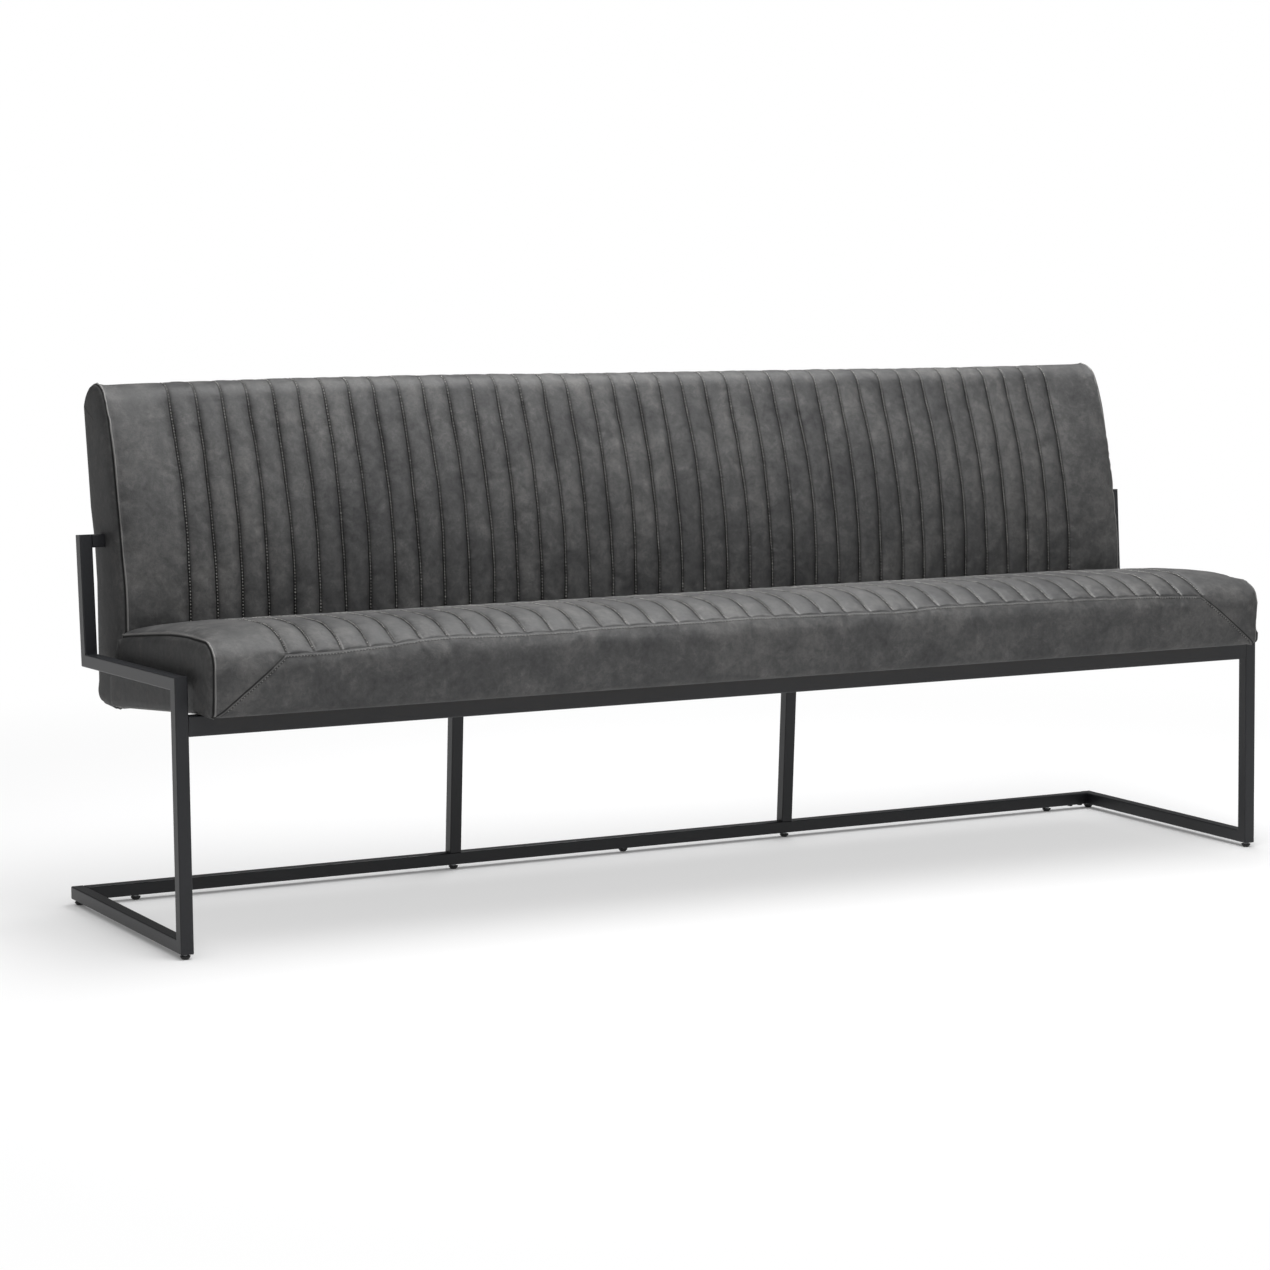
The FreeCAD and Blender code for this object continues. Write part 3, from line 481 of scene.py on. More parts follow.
# Rings past the end seam: (share of the bulge, inset), then shares of the way to the spine,
# over which the bulge grows from its first to its full share
RIM = ((0.18, 0.0024), (0.42, 0.0050), (0.62, 0.0090), (0.78, 0.0150))
INNER = (0.16, 0.36, 0.6, 0.84)
INNER_BULGE = (0.84, 0.16)
RING_COUNT = len(RIM) + len(INNER)


def last_line(sizes):
    """Place of the last sewn line to the right of the bench's middle."""
    return sizes.pitch * sizes.lines / 2.0


def stations(sizes, seam_x, bulge):
    """List of (x, ring inset, share of the way to the spine) from the left end to the right."""
    seam = last_line(sizes)
    right = [(seam + (seam_x - seam) * share, 0.0, 0.0) for share in END_SHARES]
    right += [(seam_x + bulge * out, inset, 0.0) for out, inset in RIM]
    first, gain = INNER_BULGE
    right += [(seam_x + bulge * (first + gain * share), RIM[-1][1], share) for share in INNER]
    middle = [(-seam + k * sizes.pitch + dx, 0.0, 0.0)
              for k in range(sizes.lines) for dx in CHANNEL_OFFSETS]
    middle.append((seam, 0.0, 0.0))
    left = [(-x, inset, share) for x, inset, share in reversed(right)]
    return left + middle + right


def smooth(value, low, high):
    """Ease from 0 at low to 1 at high."""
    t = np.clip((value - low) / (high - low), 0.0, 1.0)
    return t * t * (3.0 - 2.0 * t)


def close_mesh(bm, name):
    """Write an open mesh into a new one and free it."""
    mesh = bpy.data.meshes.new(name)
    bm.to_mesh(mesh)
    bm.free()
    return mesh


def loft(name, profile, count):
    """Closed tube of faces: the profile extruded once per station, with its ends filled.

    The stations stand a millimetre apart until build_cushion puts every point in its place.
    """
    bm = bmesh.new()
    row = bm.verts.layers.int.new("row")
    station = bm.verts.layers.int.new("station")
    verts = []
    for k, (y, z) in enumerate(profile):
        vert = bmesh.ops.create_vert(bm, co=(0.0, y, z))["vert"][0]
        vert[row] = k
        verts.append(vert)
    edges = []
    for k, vert in enumerate(verts):
        pair = [vert, verts[(k + 1) % len(verts)]]
        edges += bmesh.ops.contextual_create(bm, geom=pair)["edges"]
    first = list(edges)
    for k in range(1, count):
        out = bmesh.ops.extrude_edge_only(bm, edges=edges)["geom"]
        edges = [e for e in out if isinstance(e, bmesh.types.BMEdge) and e.is_boundary]
        fresh = [v for v in out if isinstance(v, bmesh.types.BMVert)]
        for vert in fresh:
            vert[station] = k
        bmesh.ops.translate(bm, verts=fresh, vec=(0.001, 0.0, 0.0))
    bmesh.ops.contextual_create(bm, geom=first)
    bmesh.ops.contextual_create(bm, geom=edges)
    bmesh.ops.recalc_face_normals(bm, faces=bm.faces[:])
    return close_mesh(bm, name)


def write_floats(mesh, name, values):
    layer = mesh.attributes.get(name) or mesh.attributes.new(name, "FLOAT", "POINT")
    layer.data.foreach_set("value", np.ascontiguousarray(values, dtype=np.float32))


def read_layer(mesh, name, kind=np.float32):
    values = np.zeros(len(mesh.vertices), dtype=kind)
    mesh.attributes[name].data.foreach_get("value", values)
    return values


def read_vectors(items, name="co"):
    values = np.zeros(len(items) * 3, dtype=np.float32)
    items.foreach_get(name, values)
    return values.reshape(-1, 3).astype(np.float64)


def write_places(mesh, places):
    mesh.vertices.foreach_set("co", np.ascontiguousarray(places, dtype=np.float32).ravel())
    mesh.update()


def make_object(name, mesh, material):
    obj = bpy.data.objects.new(name, mesh)
    bpy.context.scene.collection.objects.link(obj)
    mesh.materials.append(material)
    for polygon in mesh.polygons:
        polygon.use_smooth = True
    return obj


CLOTH_FRAMES = 20
CLOTH = {
    "quality": 4, "mass": 0.4, "tension_stiffness": 22.0, "compression_stiffness": 22.0,
    "shear_stiffness": 8.0, "bending_stiffness": 4.0, "air_damping": 2.0,
    "vertex_group_mass": "held", "use_pressure": True, "shrink_min": -0.006,
}


def fill_cloth(obj, free, cap, sizes):
    """Let the filling press the leather out between its sewn lines.

    Where free is 0 the leather is held. Cap is the most that each point may move.
    """
    mesh = obj.data
    before = read_vectors(mesh.vertices)
    group = obj.vertex_groups.new(name="held")
    for index in np.nonzero(free < 0.5)[0]:
        group.add([int(index)], 1.0, "REPLACE")
    cloth = obj.modifiers.new("filling", "CLOTH")
    for key, value in CLOTH.items():
        setattr(cloth.settings, key, value)
    cloth.settings.uniform_pressure_force = sizes.pressure
    cloth.settings.effector_weights.gravity = 0.0
    cloth.collision_settings.use_collision = False
    cloth.collision_settings.use_self_collision = False
    scene = bpy.context.scene
    cloth.point_cache.frame_start = 1
    cloth.point_cache.frame_end = CLOTH_FRAMES
    for step in range(1, CLOTH_FRAMES + 1):
        scene.frame_set(step)
    graph = bpy.context.evaluated_depsgraph_get()
    swollen = obj.evaluated_get(graph).to_mesh()
    after = read_vectors(swollen.vertices)
    obj.evaluated_get(graph).to_mesh_clear()
    obj.modifiers.remove(cloth)
    obj.vertex_groups.remove(group)
    scene.frame_set(1)
    moved = after - before
    length = np.linalg.norm(moved, axis=1)
    share = np.minimum(1.0, cap / np.maximum(length, 1e-9))
    write_places(mesh, before + moved * share[:, None])


def free_places(obj, in_panel, held):
    """1 where the filling may move the leather, 0 on the sewn lines, at seams and where held."""
    on_line = in_panel & (read_layer(obj.data, "line") < ON_LINE)
    at_seam = read_layer(obj.data, "side_seam") > -0.0015
    return np.where(on_line | at_seam | held, 0.0, 1.0)


def part_edges(obj, seam_x):
    """Halve the faces between stations, so that the sewn lines can be drawn in sharply."""
    reach = seam_x - 0.02
    bm = bmesh.new()
    bm.from_mesh(obj.data)
    station = bm.verts.layers.int["station"]
    edges = [e for e in bm.edges if e.verts[0][station] != e.verts[1][station]
             and max(abs(e.verts[0].co.x), abs(e.verts[1].co.x)) < reach]
    bmesh.ops.subdivide_edges(bm, edges=edges, cuts=1, use_grid_fill=True)
    bm.to_mesh(obj.data)
    bm.free()


def line_crease(away, turn):
    """Height of the leather beside a sewn line: sharp on its left, a stitched step on its right."""
    crease = -0.0012 * np.exp(-(away / 0.0012) ** 2)
    step = -0.0010 * np.exp(-((away - STITCH_ASIDE) / 0.0014) ** 2)
    return crease + np.where(turn > 0.0, step, 0.0)


def seam_crease(away, topstitch, deep, high):
    """Height beside a seam, with the padded strip up to its topstitching."""
    crease = -deep * np.exp(-(away / 0.0014) ** 2)
    strip = high * np.exp(-((away - topstitch * 0.55) / 0.0016) ** 2)
    stitched = -0.0008 * np.exp(-((away - topstitch) / 0.0011) ** 2)
    return crease + strip + stitched


def wobble(line, run):
    """Sideways drift of one sewn line along its way, in metres."""
    slow = np.sin(2.0 * math.pi * (run / 0.27 + 0.618 * line))
    quick = np.sin(2.0 * math.pi * (run / 0.083 + 0.414 * line))
    return 0.0005 * slow + 0.00022 * quick


def seam_distance(value, x, seam_x):
    """Distance to a seam for its attribute; past the end seams everything is far from it."""
    value = np.clip(value, -SEAM_REACH, SEAM_REACH)
    return np.where(np.abs(x)[:, None] > seam_x + NO_LENGTH, -SEAM_REACH, value)


def build_cushion(name, profile, end_profile, end_width, rim, panel_rows, depth, seam_row, spine,
                  seam_x, bulge, sizes, material, cut):
    """One padded form; returns its object, the row and station of each vertex, the stations' x."""
    places = stations(sizes, seam_x, bulge)
    mesh = loft(name, profile, len(places))
    row = read_layer(mesh, "row", np.int32)
    station = read_layer(mesh, "station", np.int32)
    x, inset, share = np.array(places).T
    normal = inward(profile)
    end_normal = inward(end_profile)

    # From the middle outline to the one at the end seam, around the rim and in to the spine
    t = (np.abs(x)[:, None] - (seam_x - end_width)) / end_width
    t = np.clip(t, 0.0, 1.0)
    bend = 1.0 - np.sqrt(np.maximum(0.0, 1.0 - t * t))
    grid = profile + (end_profile - profile) * bend[..., None]
    grid = grid + end_normal * (inset[:, None] * rim)[..., None]
    grid = grid + (spine(profile) - grid) * share[:, None, None]

    # Channels, wider on the left of each line than on its right
    seam = last_line(sizes)
    line = np.clip(np.round((x + seam) / sizes.pitch), 0, sizes.lines)
    away = x - (line * sizes.pitch - seam)
    reach = np.where(away < 0.0, 0.0105, 0.0066)
    shape = np.exp(-(np.abs(away) / reach) ** 1.35)
    along = run_along(profile)
    drift = wobble(line[:, None], along)
    deep = 1.0 + 0.22 * np.sin(2.0 * math.pi * (along / 0.36 + 0.27 * line[:, None]))
    sunk = sizes.groove * deep * shape[:, None] * depth
    grid = cut(x, grid + normal * sunk[..., None])
    near = np.maximum(0.0, 1.0 - np.abs(away) / HALF_CHANNEL)
    moved_x = x[:, None] + drift * (near[:, None] * panel_rows)
    spots = np.concatenate([moved_x[..., None], grid], axis=2)

    # Distance from the end seams along the leather, below 0 between them
    steps = np.linalg.norm(np.diff(spots, axis=0), axis=2)
    run = np.concatenate([np.zeros((1, len(profile))), np.cumsum(steps, axis=0)])
    side = np.maximum(run[RING_COUNT] - run, run - run[-1 - RING_COUNT])

    turn = np.where(np.abs(away) < NO_LENGTH, 0.0, np.sign(away))
    turn = turn * np.minimum(1.0, (sizes.pitch / 2.0 + 0.0001 - np.abs(away)) / 0.005)
    write_places(mesh, spots[station, row])
    write_floats(mesh, "panel", panel_rows[row])
    write_floats(mesh, "line", np.abs(away)[station])
    write_floats(mesh, "turn", turn[station])
    write_floats(mesh, "side_seam", np.clip(side[station, row], -SEAM_REACH, SEAM_REACH))
    write_floats(mesh, "front_seam", seam_row(spots, x)[station, row])
    return make_object(name, mesh, material), row, station, x


def relief(obj, sizes, lines=1.0, high=0.0016):
    """Draw the sewn lines and seams into the swollen leather."""
    mesh = obj.data
    spots = read_vectors(mesh.vertices)
    normals = read_vectors(mesh.vertex_normals, "vector")
    height = line_crease(read_layer(mesh, "line"), read_layer(mesh, "turn"))
    height = height * read_layer(mesh, "panel") * lines
    height += seam_crease(read_layer(mesh, "front_seam"), sizes.topstitch, 0.0010, high)
    height += seam_crease(-read_layer(mesh, "side_seam"), sizes.topstitch, 0.0022, 0.0016)
    write_places(mesh, spots + normals * height[:, None])


def surface_tree(obj):
    """Search tree of a form's surface, for laying stitches on it."""
    bm = bmesh.new()
    bm.from_mesh(obj.data)
    tree = BVHTree.FromBMesh(bm)
    bm.free()
    return tree


# Ends of a stitch in its pitch, start and length of its search for the leather, and its height
# as a share of the thread's radius
STITCH_ENDS = (0.18, 0.66)
SEARCH_START, SEARCH_LENGTH = 0.012, 0.03
STITCH_HEIGHT = 0.55
SHORTEST_STITCH = 1e-4


def sew(bm, tree, path, sizes):
    """Lay stitches on the leather along a dense path of (point, outward direction)."""
    points = np.array([p for p, _ in path])
    outs = np.array([o for _, o in path])
    run = run_along(points)
    count = int(run[-1] / sizes.stitch)
    row = bmesh.new()
    for k in range(count):
        ends = []
        for part in STITCH_ENDS:
            s = (k + part) * sizes.stitch
            p = Vector([float(np.interp(s, run, points[:, i])) for i in range(3)])
            o = Vector([float(np.interp(s, run, outs[:, i])) for i in range(3)]).normalized()
            spot = tree.ray_cast(p + o * SEARCH_START, -o, SEARCH_LENGTH)[0]
            if spot is None:
                break
            ends.append((spot, o))
        if len(ends) < 2:
            continue
        (a, up), (b, _) = ends
        along = b - a
        if along.length < SHORTEST_STITCH:
            continue
        matrix = along.to_track_quat("Y", "Z").to_matrix().to_4x4()
        matrix.translation = (a + b) / 2.0 + up * sizes.thread * STITCH_HEIGHT
        made = bmesh.ops.create_icosphere(row, subdivisions=1, radius=1.0)
        size = (sizes.thread, along.length / 2.0, sizes.thread)
        bmesh.ops.scale(row, vec=size, verts=made["verts"])
        bmesh.ops.transform(row, matrix=matrix, verts=made["verts"])
    mesh = close_mesh(row, "row")
    bm.from_mesh(mesh)
    bpy.data.meshes.remove(mesh)


def line_path(profile, line, sizes, first, last):
    """Path of the stitches beside one sewn line, between two rows of the profile."""
    normal = inward(profile)
    run = run_along(profile)
    start = (line - sizes.lines / 2.0) * sizes.pitch + STITCH_ASIDE
    path = []
    for k in range(first, last + 1):
        y, z = profile[k]
        x = start + float(wobble(line, run[k]))
        path.append(((x, y, z), (0.0, -normal[k][0], -normal[k][1])))
    return path


def finish_stitches(name, bm, material):
    obj = make_object(name, close_mesh(bm, name), material)
    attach(obj, BODY)
    return obj


def thread_finish():
    """Worn grey thread with painted highlights: some stitches are lighter, others are dark, and
    those on the seat's front are dark.
    """
    material = bpy.data.materials.get("sewing_thread")
    if material is None:
        colour = tuple(bpy.context.scene.sofa_colours.thread)
        n = Nodes("sewing_thread")
        wear_and_highlight = n.ramp(n.noise(n.place, 260.0, 2.0, 0.5), 0.38, 0.58, 0.0, 1.0)
        forward = n.add("ShaderNodeSeparateXYZ", {0: n.place}).outputs["Y"]
        wear_and_highlight = n.product(wear_and_highlight, n.ramp(forward, FOOT - 0.0335, FOOT - 0.0315, 0.0, 1.0))
        base = n.mix(wear_and_highlight, tuple(c * 0.30 for c in colour), colour)
        shader = n.add("ShaderNodeBsdfPrincipled", {"Base Color": base, "Roughness": 0.65})
        material = n.surface(shader.outputs[0])
    return material


def leather_finish(scene):
    """The leather of seat and back, made once."""
    return (bpy.data.materials.get("mottled_leather")
            or leather("mottled_leather", scene.sofa_colours, scene.sofa_sizes))


# Distances of the edges that are cut into the seat's front beside its corner seams
CORNER_CUTS = (-0.0035, -0.0013, 0.0, 0.0013, 0.0035, 0.0065)


def cut_corner_seams(obj):
    """Cut edges along the two corner seams, so that they can be drawn in sharply."""
    bm = bmesh.new()
    bm.from_mesh(obj.data)
    for sign in (-1.0, 1.0):
        normal = Vector((-sign * CORNER_DROP, 0.0, -CORNER_RUN)).normalized()
        for off in CORNER_CUTS:
            faces = []
            for f in bm.faces:
                middle = f.calc_center_median()
                if (CORNER_START < sign * middle.x < SEAT_SEAM_X - 0.0005
                        and middle.y < FOOT + 0.002 and 0.352 < middle.z < 0.446):
                    faces.append(f)
            geom = list({v for f in faces for v in f.verts})
            geom += list({e for f in faces for e in f.edges}) + faces
            spot = Vector((sign * CORNER_X, 0.0, CORNER_Z)) + normal * off
            bmesh.ops.bisect_plane(bm, geom=geom, dist=1e-6, plane_co=spot, plane_no=normal)
    bm.to_mesh(obj.data)
    bm.free()


def sew_seat(tree, profile, slide, sizes):
    """Stitches of the seat: its sewn lines, then the rows below the front and corner seams."""
    bm = bmesh.new()
    for k in range(sizes.lines + 1):
        outline = profile + slide * float(seam_rise(k * sizes.pitch - last_line(sizes)))
        sew(bm, tree, line_path(outline, k, sizes, 1, SEAT_SEAM_ROW - 1), sizes)
    centre_y, centre_z = mm(*SEAT_LIP)
    path = []
    for x in np.linspace(-0.810, 0.804, 90):
        seam_y, seam_z = (profile + slide * float(seam_rise(x)))[SEAT_SEAM_ROW]
        angle = math.atan2(seam_z - centre_z, centre_y - seam_y)
        angle -= sizes.topstitch / SEAT_LIP_RADIUS
        out = (0.0, -math.cos(angle), math.sin(angle))
        path.append(((x, centre_y + SEAT_LIP_RADIUS * out[1], centre_z + SEAT_LIP_RADIUS * out[2]),
                     out))
    sew(bm, tree, path, sizes)
    for sign in (-1.0, 1.0):
        path = []
        for part in np.linspace(0.0, 0.93, 20):
            x = CORNER_X + CORNER_RUN * part - CORNER_DROP / CORNER_LENGTH * sizes.topstitch
            z = CORNER_Z - CORNER_DROP * part - CORNER_RUN / CORNER_LENGTH * sizes.topstitch
            lift = max(0.0, z - centre_z) / SEAT_LIP_RADIUS
            ahead = math.sqrt(1.0 - lift * lift)
            path.append(((sign * x, centre_y - SEAT_LIP_RADIUS * ahead, z), (0.0, -ahead, lift)))
        sew(bm, tree, path, sizes)
    return bm


class SOFA_OT_frame(bpy.types.Operator):
    """Give the steel frame, the fixings and the glides their finishes"""
    bl_idname = "sofa.frame"
    bl_label = "Finish the frame"

    def execute(self, context):
        colours = context.scene.sofa_colours
        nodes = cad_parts
        steel = plain("powder_coat", tuple(colours.steel), 0.42, grain=1400.0, depth=0.00015,
                      strength=0.25, drift=0.08, specular=0.42)
        plastic = plain("glide_plastic", srgb("1c1c1d"), 0.5, grain=600.0)
        zinc = plain("zinc_plate", srgb("9a9c9e"), 0.35, metallic=1.0, grain=700.0)
        black = plain("black_screw", srgb("1a1a1b"), 0.4, metallic=0.6, grain=700.0)
        tubes = [n for n in nodes if n.endswith(("_rail", "_leg", "_upright", "_post", "_caps"))]
        dress(tubes, steel)
        dress([n for n in nodes if n.startswith("glide_pad_")], plastic)
        dress([n for n in nodes if n.startswith("glide_stud_")], zinc)
        dress(["threaded_inserts", "seat_tee_nuts", "seat_bolts", "back_rail_clips",
               "rear_rail_spigots"], zinc)
        dress(["spigot_screws", "back_clip_screws"], black)
        dress(["seat_board", "back_board"], plywood("birch_plywood"))
        return {"FINISHED"}


class SOFA_OT_seat(bpy.types.Operator):
    """Build the padded seat with its channels, waterfall front and seams"""
    bl_idname = "sofa.seat"
    bl_label = "Seat"

    def execute(self, context):
        sizes = context.scene.sofa_sizes
        profile = seat_profile(ROLL_LOW)
        slide = seat_profile(ROLL_HIGH) - profile
        order = np.arange(len(profile))
        y = profile[:, 0] - FOOT
        width = END_WIDTH + 0.075 * (1.0 - smooth(order, SEAT_SEAM_ROW - 2, SEAT_SEAM_ROW + 8))
        panel = np.zeros(len(profile))
        panel[:SEAT_SEAM_ROW + 1] = 1.0
        panel[SEAT_SEAM_ROW] = 0.25
        panel[-3:] = 1.0
        run = run_along(profile)
        below = run - run[SEAT_SEAM_ROW]
        high = run_along(profile + slide)
        higher = high - high[SEAT_SEAM_ROW] - below
        near = (order > 30) & (order < SEAT_SEAM_ROW + 22)

        def seam_row(spots, x):
            reach = np.abs(spots[..., 0]) - CORNER_X
            down = CORNER_Z - spots[..., 2]
            diagonal = (down * CORNER_RUN - reach * CORNER_DROP) / CORNER_LENGTH
            value = below + higher * seam_rise(x)[:, None]
            value = np.where(near, np.minimum(value, diagonal), -SEAM_REACH)
            return seam_distance(value, x, SEAT_SEAM_X)

        def cut(x, grid):
            top = 1.0 - smooth(order, SEAT_SEAM_ROW - 12, SEAT_SEAM_ROW)
            grid = grid + slide * seam_rise(x)[:, None, None]
            grid[..., 1] -= 0.0034 * smooth(x, 0.66, 0.90)[:, None] * top
            return grid

        def spine(points):
            y = np.clip(points[:, 0], FOOT + 0.045, FOOT + 0.335)
            z = 0.402 - 0.02 * (y - FOOT - 0.045) / 0.29
            return np.stack([y, z], axis=1)

        fascia_foot = SEAT_SEAM_ROW + 12
        rim = np.where(order > fascia_foot, 0.15, 1.0)
        rim = np.where((y > 0.325) & (order > SEAT_SEAM_ROW + 40), 0.10, rim)
        depth = panel * (0.20 + 0.34 * smooth(-y, -0.14, -0.02))
        depth = depth * (1.0 - 0.85 * smooth(order, SEAT_SEAM_ROW - 5, SEAT_SEAM_ROW))
        obj, row, station, x = build_cushion(
            "seat_cushion", profile, seat_end_profile(), width, rim, panel, depth, seam_row, spine,
            SEAT_SEAM_X, SEAT_BULGE, sizes, leather_finish(context.scene), cut)
        held = (row == SEAT_SEAM_ROW) & (np.abs(x[station]) < CORNER_X)
        held = held | (row > fascia_foot) | (row < 2)
        free = free_places(obj, panel[row] > 0.5, held)
        cap = 0.4 * sizes.swell * (0.2 + 0.8 * smooth(-y, -0.16, -0.03))
        fill_cloth(obj, free, cap[row], sizes)
        part_edges(obj, SEAT_SEAM_X)
        cut_corner_seams(obj)
        relief(obj, sizes, lines=0.3, high=0.0003)
        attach(obj, BODY)
        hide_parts("seat_foam", "seat_channel_panel", "seat_side_panels")

        stitches = sew_seat(surface_tree(obj), profile, slide, sizes)
        finish_stitches("seat_stitches", stitches, thread_finish())
        return {"FINISHED"}


class SOFA_OT_back(bpy.types.Operator):
    """Build the padded back with its channels over the rounded top"""
    bl_idname = "sofa.back"
    bl_label = "Back"

    def execute(self, context):
        sizes = context.scene.sofa_sizes
        profile = back_profile()
        rows = len(profile)
        order = np.arange(rows)
        sink = np.interp(order, *zip(*BACK_END_SINK))
        ends = profile + inward(profile) * sink[:, None] / 1000.0
        panel = np.zeros(rows)
        panel[BACK_FIRST_ROW - 3:BACK_SEAM_ROW + 1] = 1.0
        panel *= 1.0 - 0.45 * smooth(order, 64, 74)  # the channels flatten towards the roll
        panel[BACK_SEAM_ROW] = 0.3
        run = run_along(profile)
        below = run - run[BACK_SEAM_ROW]

        def seam_row(spots, x):
            return seam_distance(below, x, BACK_SEAM_X)

        def cut(x, grid):
            rise = np.interp(x, *zip(*BACK_RISE))
            grid = grid.copy()
            grid[..., 1] += rise[:, None] * smooth(grid[..., 1], 0.66, 0.76)
            return grid

        def spine(points):
            z = np.clip(points[:, 1], 0.345, 0.745)
            y = FOOT + 0.412 + 0.034 * smooth(z, 0.45, 0.75) - 0.010 * smooth(z, 0.40, 0.60)
            return np.stack([y, z], axis=1)

        rim = np.where(order > rows - 12, 0.5, 1.0)
        rim = np.where((order < BACK_FIRST_ROW + 2) | (order > rows - 3), 0.10, rim)
        depth = panel * (1.0 - 0.85 * smooth(order, 60, 76))
        obj, row, _, _ = build_cushion(
            "back_cushion", profile, ends, np.full(rows, END_WIDTH), rim, panel, depth, seam_row,
            spine, BACK_SEAM_X, BACK_BULGE, sizes, leather_finish(context.scene), cut)
        held = (row == BACK_SEAM_ROW) | (row < BACK_FIRST_ROW + 3) | (row > BACK_SEAM_ROW + 21)
        free = free_places(obj, panel[row] > 0.2, held)
        cap = sizes.swell * (1.0 - 0.7 * smooth(order, 62, 76))
        fill_cloth(obj, free, cap[row], sizes)
        part_edges(obj, BACK_SEAM_X)
        relief(obj, sizes)
        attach(obj, BODY)
        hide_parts("back_foam", "back_channel_panel", "back_side_panels")

        tree = surface_tree(obj)
        bm = bmesh.new()
        first, last = BACK_FIRST_ROW + 2, BACK_SEAM_ROW - 1
        for k in range(sizes.lines + 1):
            sew(bm, tree, line_path(profile, k, sizes, first, last), sizes)
        finish_stitches("back_stitches", bm, thread_finish())
        return {"FINISHED"}


class SOFA_OT_dust_cloth(bpy.types.Operator):
    """Stretch the dust cloth under the seat, with slots for the rear posts"""
    bl_idname = "sofa.dust_cloth"
    bl_label = "Dust cloth"

    def execute(self, context):
        low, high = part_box("underside_cloth")
        width, depth = high.x - low.x, high.y - low.y
        bm = bmesh.new()
        bmesh.ops.create_grid(bm, x_segments=90, y_segments=20, size=0.5)
        bmesh.ops.scale(bm, vec=(width, depth, 1.0), verts=bm.verts[:])
        bmesh.ops.translate(bm, vec=(0.0, (low.y + high.y) / 2.0, 0.0), verts=bm.verts[:])
        heel = FOOT + 0.3706          # where the seat's underside meets that of the back
        for v in bm.verts:
            t = (v.co.y - low.y) / (heel - low.y)
            if t < 1.0:
                v.co.z = 0.3475 - 0.0327 * t
            else:
                v.co.z = 0.3148 - 0.0026 * min(1.0, (t - 1.0) / 0.08)

        def split(place, direction):
            bmesh.ops.bisect_plane(bm, geom=bm.verts[:] + bm.edges[:] + bm.faces[:], dist=1e-6,
                                   plane_co=place, plane_no=direction)

        clear = 0.0015                # room around each post
        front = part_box("rear_seat_rail")[0].y - clear
        for post in ("left_rear_post", "right_rear_post"):
            post_low, post_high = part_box(post)
            sides = (post_low.x - clear, post_high.x + clear)
            for side in sides:
                split((side, 0.0, 0.0), (1.0, 0.0, 0.0))
            split((0.0, front, 0.0), (0.0, 1.0, 0.0))
            hole = [f for f in bm.faces if sides[0] < f.calc_center_median().x < sides[1]
                    and f.calc_center_median().y > front]
            bmesh.ops.delete(bm, geom=hole, context="FACES")
        cloth = plain("dust_cloth", srgb("17171a"), 0.9, grain=1800.0, depth=0.0004, strength=0.5,
                      drift=0.25)
        obj = make_object("dust_cloth", close_mesh(bm, "dust_cloth"), cloth)
        solid = obj.modifiers.new("thickness", "SOLIDIFY")
        solid.thickness = 0.0005
        solid.offset = 0.0
        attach(obj, BODY)
        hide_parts("underside_cloth")
        return {"FINISHED"}


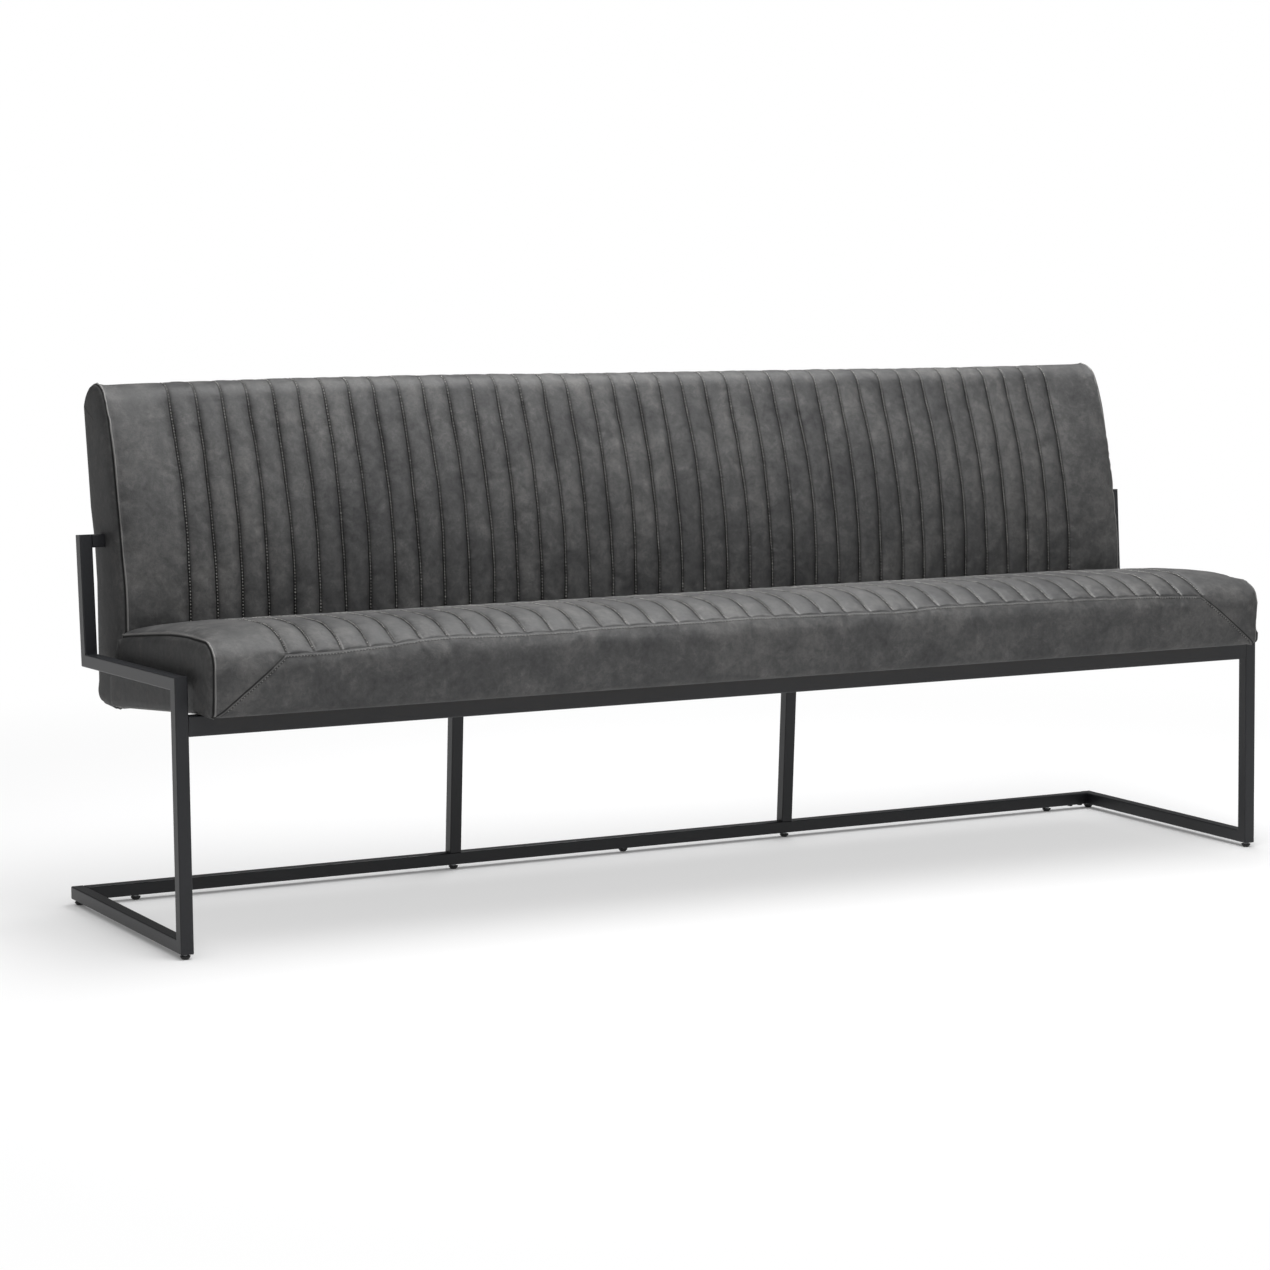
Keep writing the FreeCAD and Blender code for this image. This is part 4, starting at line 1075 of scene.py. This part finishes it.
class SOFA_OT_stage(bpy.types.Operator):
    """Set up the pale floor, the soft light and the camera"""
    bl_idname = "sofa.stage"
    bl_label = "Studio"

    def execute(self, context):
        scene = context.scene
        bm = bmesh.new()
        bmesh.ops.create_grid(bm, x_segments=1, y_segments=1, size=15.0)
        mesh = close_mesh(bm, "floor")
        n = Nodes("studio_floor")
        reach = n.add("ShaderNodeVectorMath", {0: n.place}, operation="LENGTH").outputs["Value"]
        paper = n.add("ShaderNodeBsdfDiffuse", {"Color": (0.78, 0.78, 0.785)})
        glow = n.add("ShaderNodeEmission", {"Color": (1.0, 1.0, 1.0), "Strength": 1.0})
        rays = n.add("ShaderNodeLightPath")
        seen = n.most(rays.outputs["Is Camera Ray"],
                      n.most(rays.outputs["Is Glossy Ray"], rays.outputs["Is Transmission Ray"]))
        near = n.add("ShaderNodeAmbientOcclusion", {"Distance": 0.07}, samples=8).outputs["AO"]
        far = n.product(n.ramp(reach, 1.0, 2.6, 0.60, 1.0), near, seen)
        blend = n.add("ShaderNodeMixShader", {0: far, 1: paper.outputs[0], 2: glow.outputs[0]})
        floor = make_object("studio_floor", mesh, n.surface(blend.outputs[0]))

        world = bpy.data.worlds.new("studio")
        scene.world = world
        world.use_nodes = True
        tree = world.node_tree
        tree.nodes.clear()
        out = tree.nodes.new("ShaderNodeOutputWorld")
        pick = tree.nodes.new("ShaderNodeMixShader")
        for socket, strength in ((pick.inputs[1], 0.20), (pick.inputs[2], 1.0)):
            white = tree.nodes.new("ShaderNodeBackground")
            white.inputs["Color"].default_value = (1.0, 1.0, 1.0, 1.0)
            white.inputs["Strength"].default_value = strength
            tree.links.new(white.outputs[0], socket)
        path = tree.nodes.new("ShaderNodeLightPath")
        both = tree.nodes.new("ShaderNodeMath")
        both.operation = "MAXIMUM"
        tree.links.new(path.outputs["Is Camera Ray"], both.inputs[0])
        tree.links.new(path.outputs["Is Transmission Ray"], both.inputs[1])
        tree.links.new(both.outputs[0], pick.inputs[0])
        tree.links.new(pick.outputs[0], out.inputs["Surface"])

        # Name, place, aim, width, height and watts
        lamps = (
            ("key", (-1.3, -2.6, 2.7), (0.0, 0.0, 0.5), 2.0, 1.2, 15.0),
            ("top", (0.30, -0.22, 2.9), (0.0, 0.0, 0.5), 3.6, 1.2, 163.0),
            ("fill", (2.6, -3.4, 1.4), (0.0, 0.0, 0.4), 2.4, 1.8, 8.0),
        )
        for name, spot, aim, wide, tall, power in lamps:
            data = bpy.data.lights.new(name, "AREA")
            data.shape = "RECTANGLE"
            data.size = wide
            data.size_y = tall
            data.energy = power
            lamp = bpy.data.objects.new(name, data)
            scene.collection.objects.link(lamp)
            lamp.location = spot
            lamp.rotation_euler = (Vector(aim) - Vector(spot)).to_track_quat("-Z", "Y").to_euler()

        # The camera as fitted to the photo: lens for a 36 mm film, tilt down and turn right
        lens, down, right = 98.03, 6.788, 28.287
        data = bpy.data.cameras.new("photo_view")
        data.sensor_width = 36.0
        data.lens = lens
        camera = bpy.data.objects.new("photo_view", data)
        scene.collection.objects.link(camera)
        camera.location = (-2.6836, FOOT - 4.5672, 1.0441)
        camera.rotation_euler = (math.radians(90.0 - down), 0.0, math.radians(-right))
        scene.camera = camera
        scene.view_settings.view_transform = "Standard"
        return {"FINISHED"}


class SOFA_PT_panel(bpy.types.Panel):
    """Sofa pieces in the sidebar"""
    bl_idname = "SOFA_PT_panel"
    bl_label = "Dining Sofa"
    bl_space_type = "VIEW_3D"
    bl_region_type = "UI"
    bl_category = "Sofa"

    def draw(self, context):
        layout = self.layout
        for group in (context.scene.sofa_sizes, context.scene.sofa_colours):
            for key in group.__annotations__:
                layout.prop(group, key)
        for operator in STEPS:
            layout.operator(operator.bl_idname)


STEPS = (SOFA_OT_stage, SOFA_OT_frame, SOFA_OT_seat, SOFA_OT_back, SOFA_OT_dust_cloth)
CLASSES = (SofaSizes, SofaColours) + STEPS + (SOFA_PT_panel,)


def register():
    for cls in CLASSES:
        bpy.utils.register_class(cls)
    bpy.types.Scene.sofa_sizes = PointerProperty(type=SofaSizes)
    bpy.types.Scene.sofa_colours = PointerProperty(type=SofaColours)


def unregister():
    del bpy.types.Scene.sofa_colours
    del bpy.types.Scene.sofa_sizes
    for cls in reversed(CLASSES):
        bpy.utils.unregister_class(cls)


def main():
    register()
    bpy.ops.sofa.stage()
    bpy.ops.sofa.frame()
    bpy.ops.sofa.seat()
    bpy.ops.sofa.back()
    bpy.ops.sofa.dust_cloth()


if __name__ == "__main__":
    main()
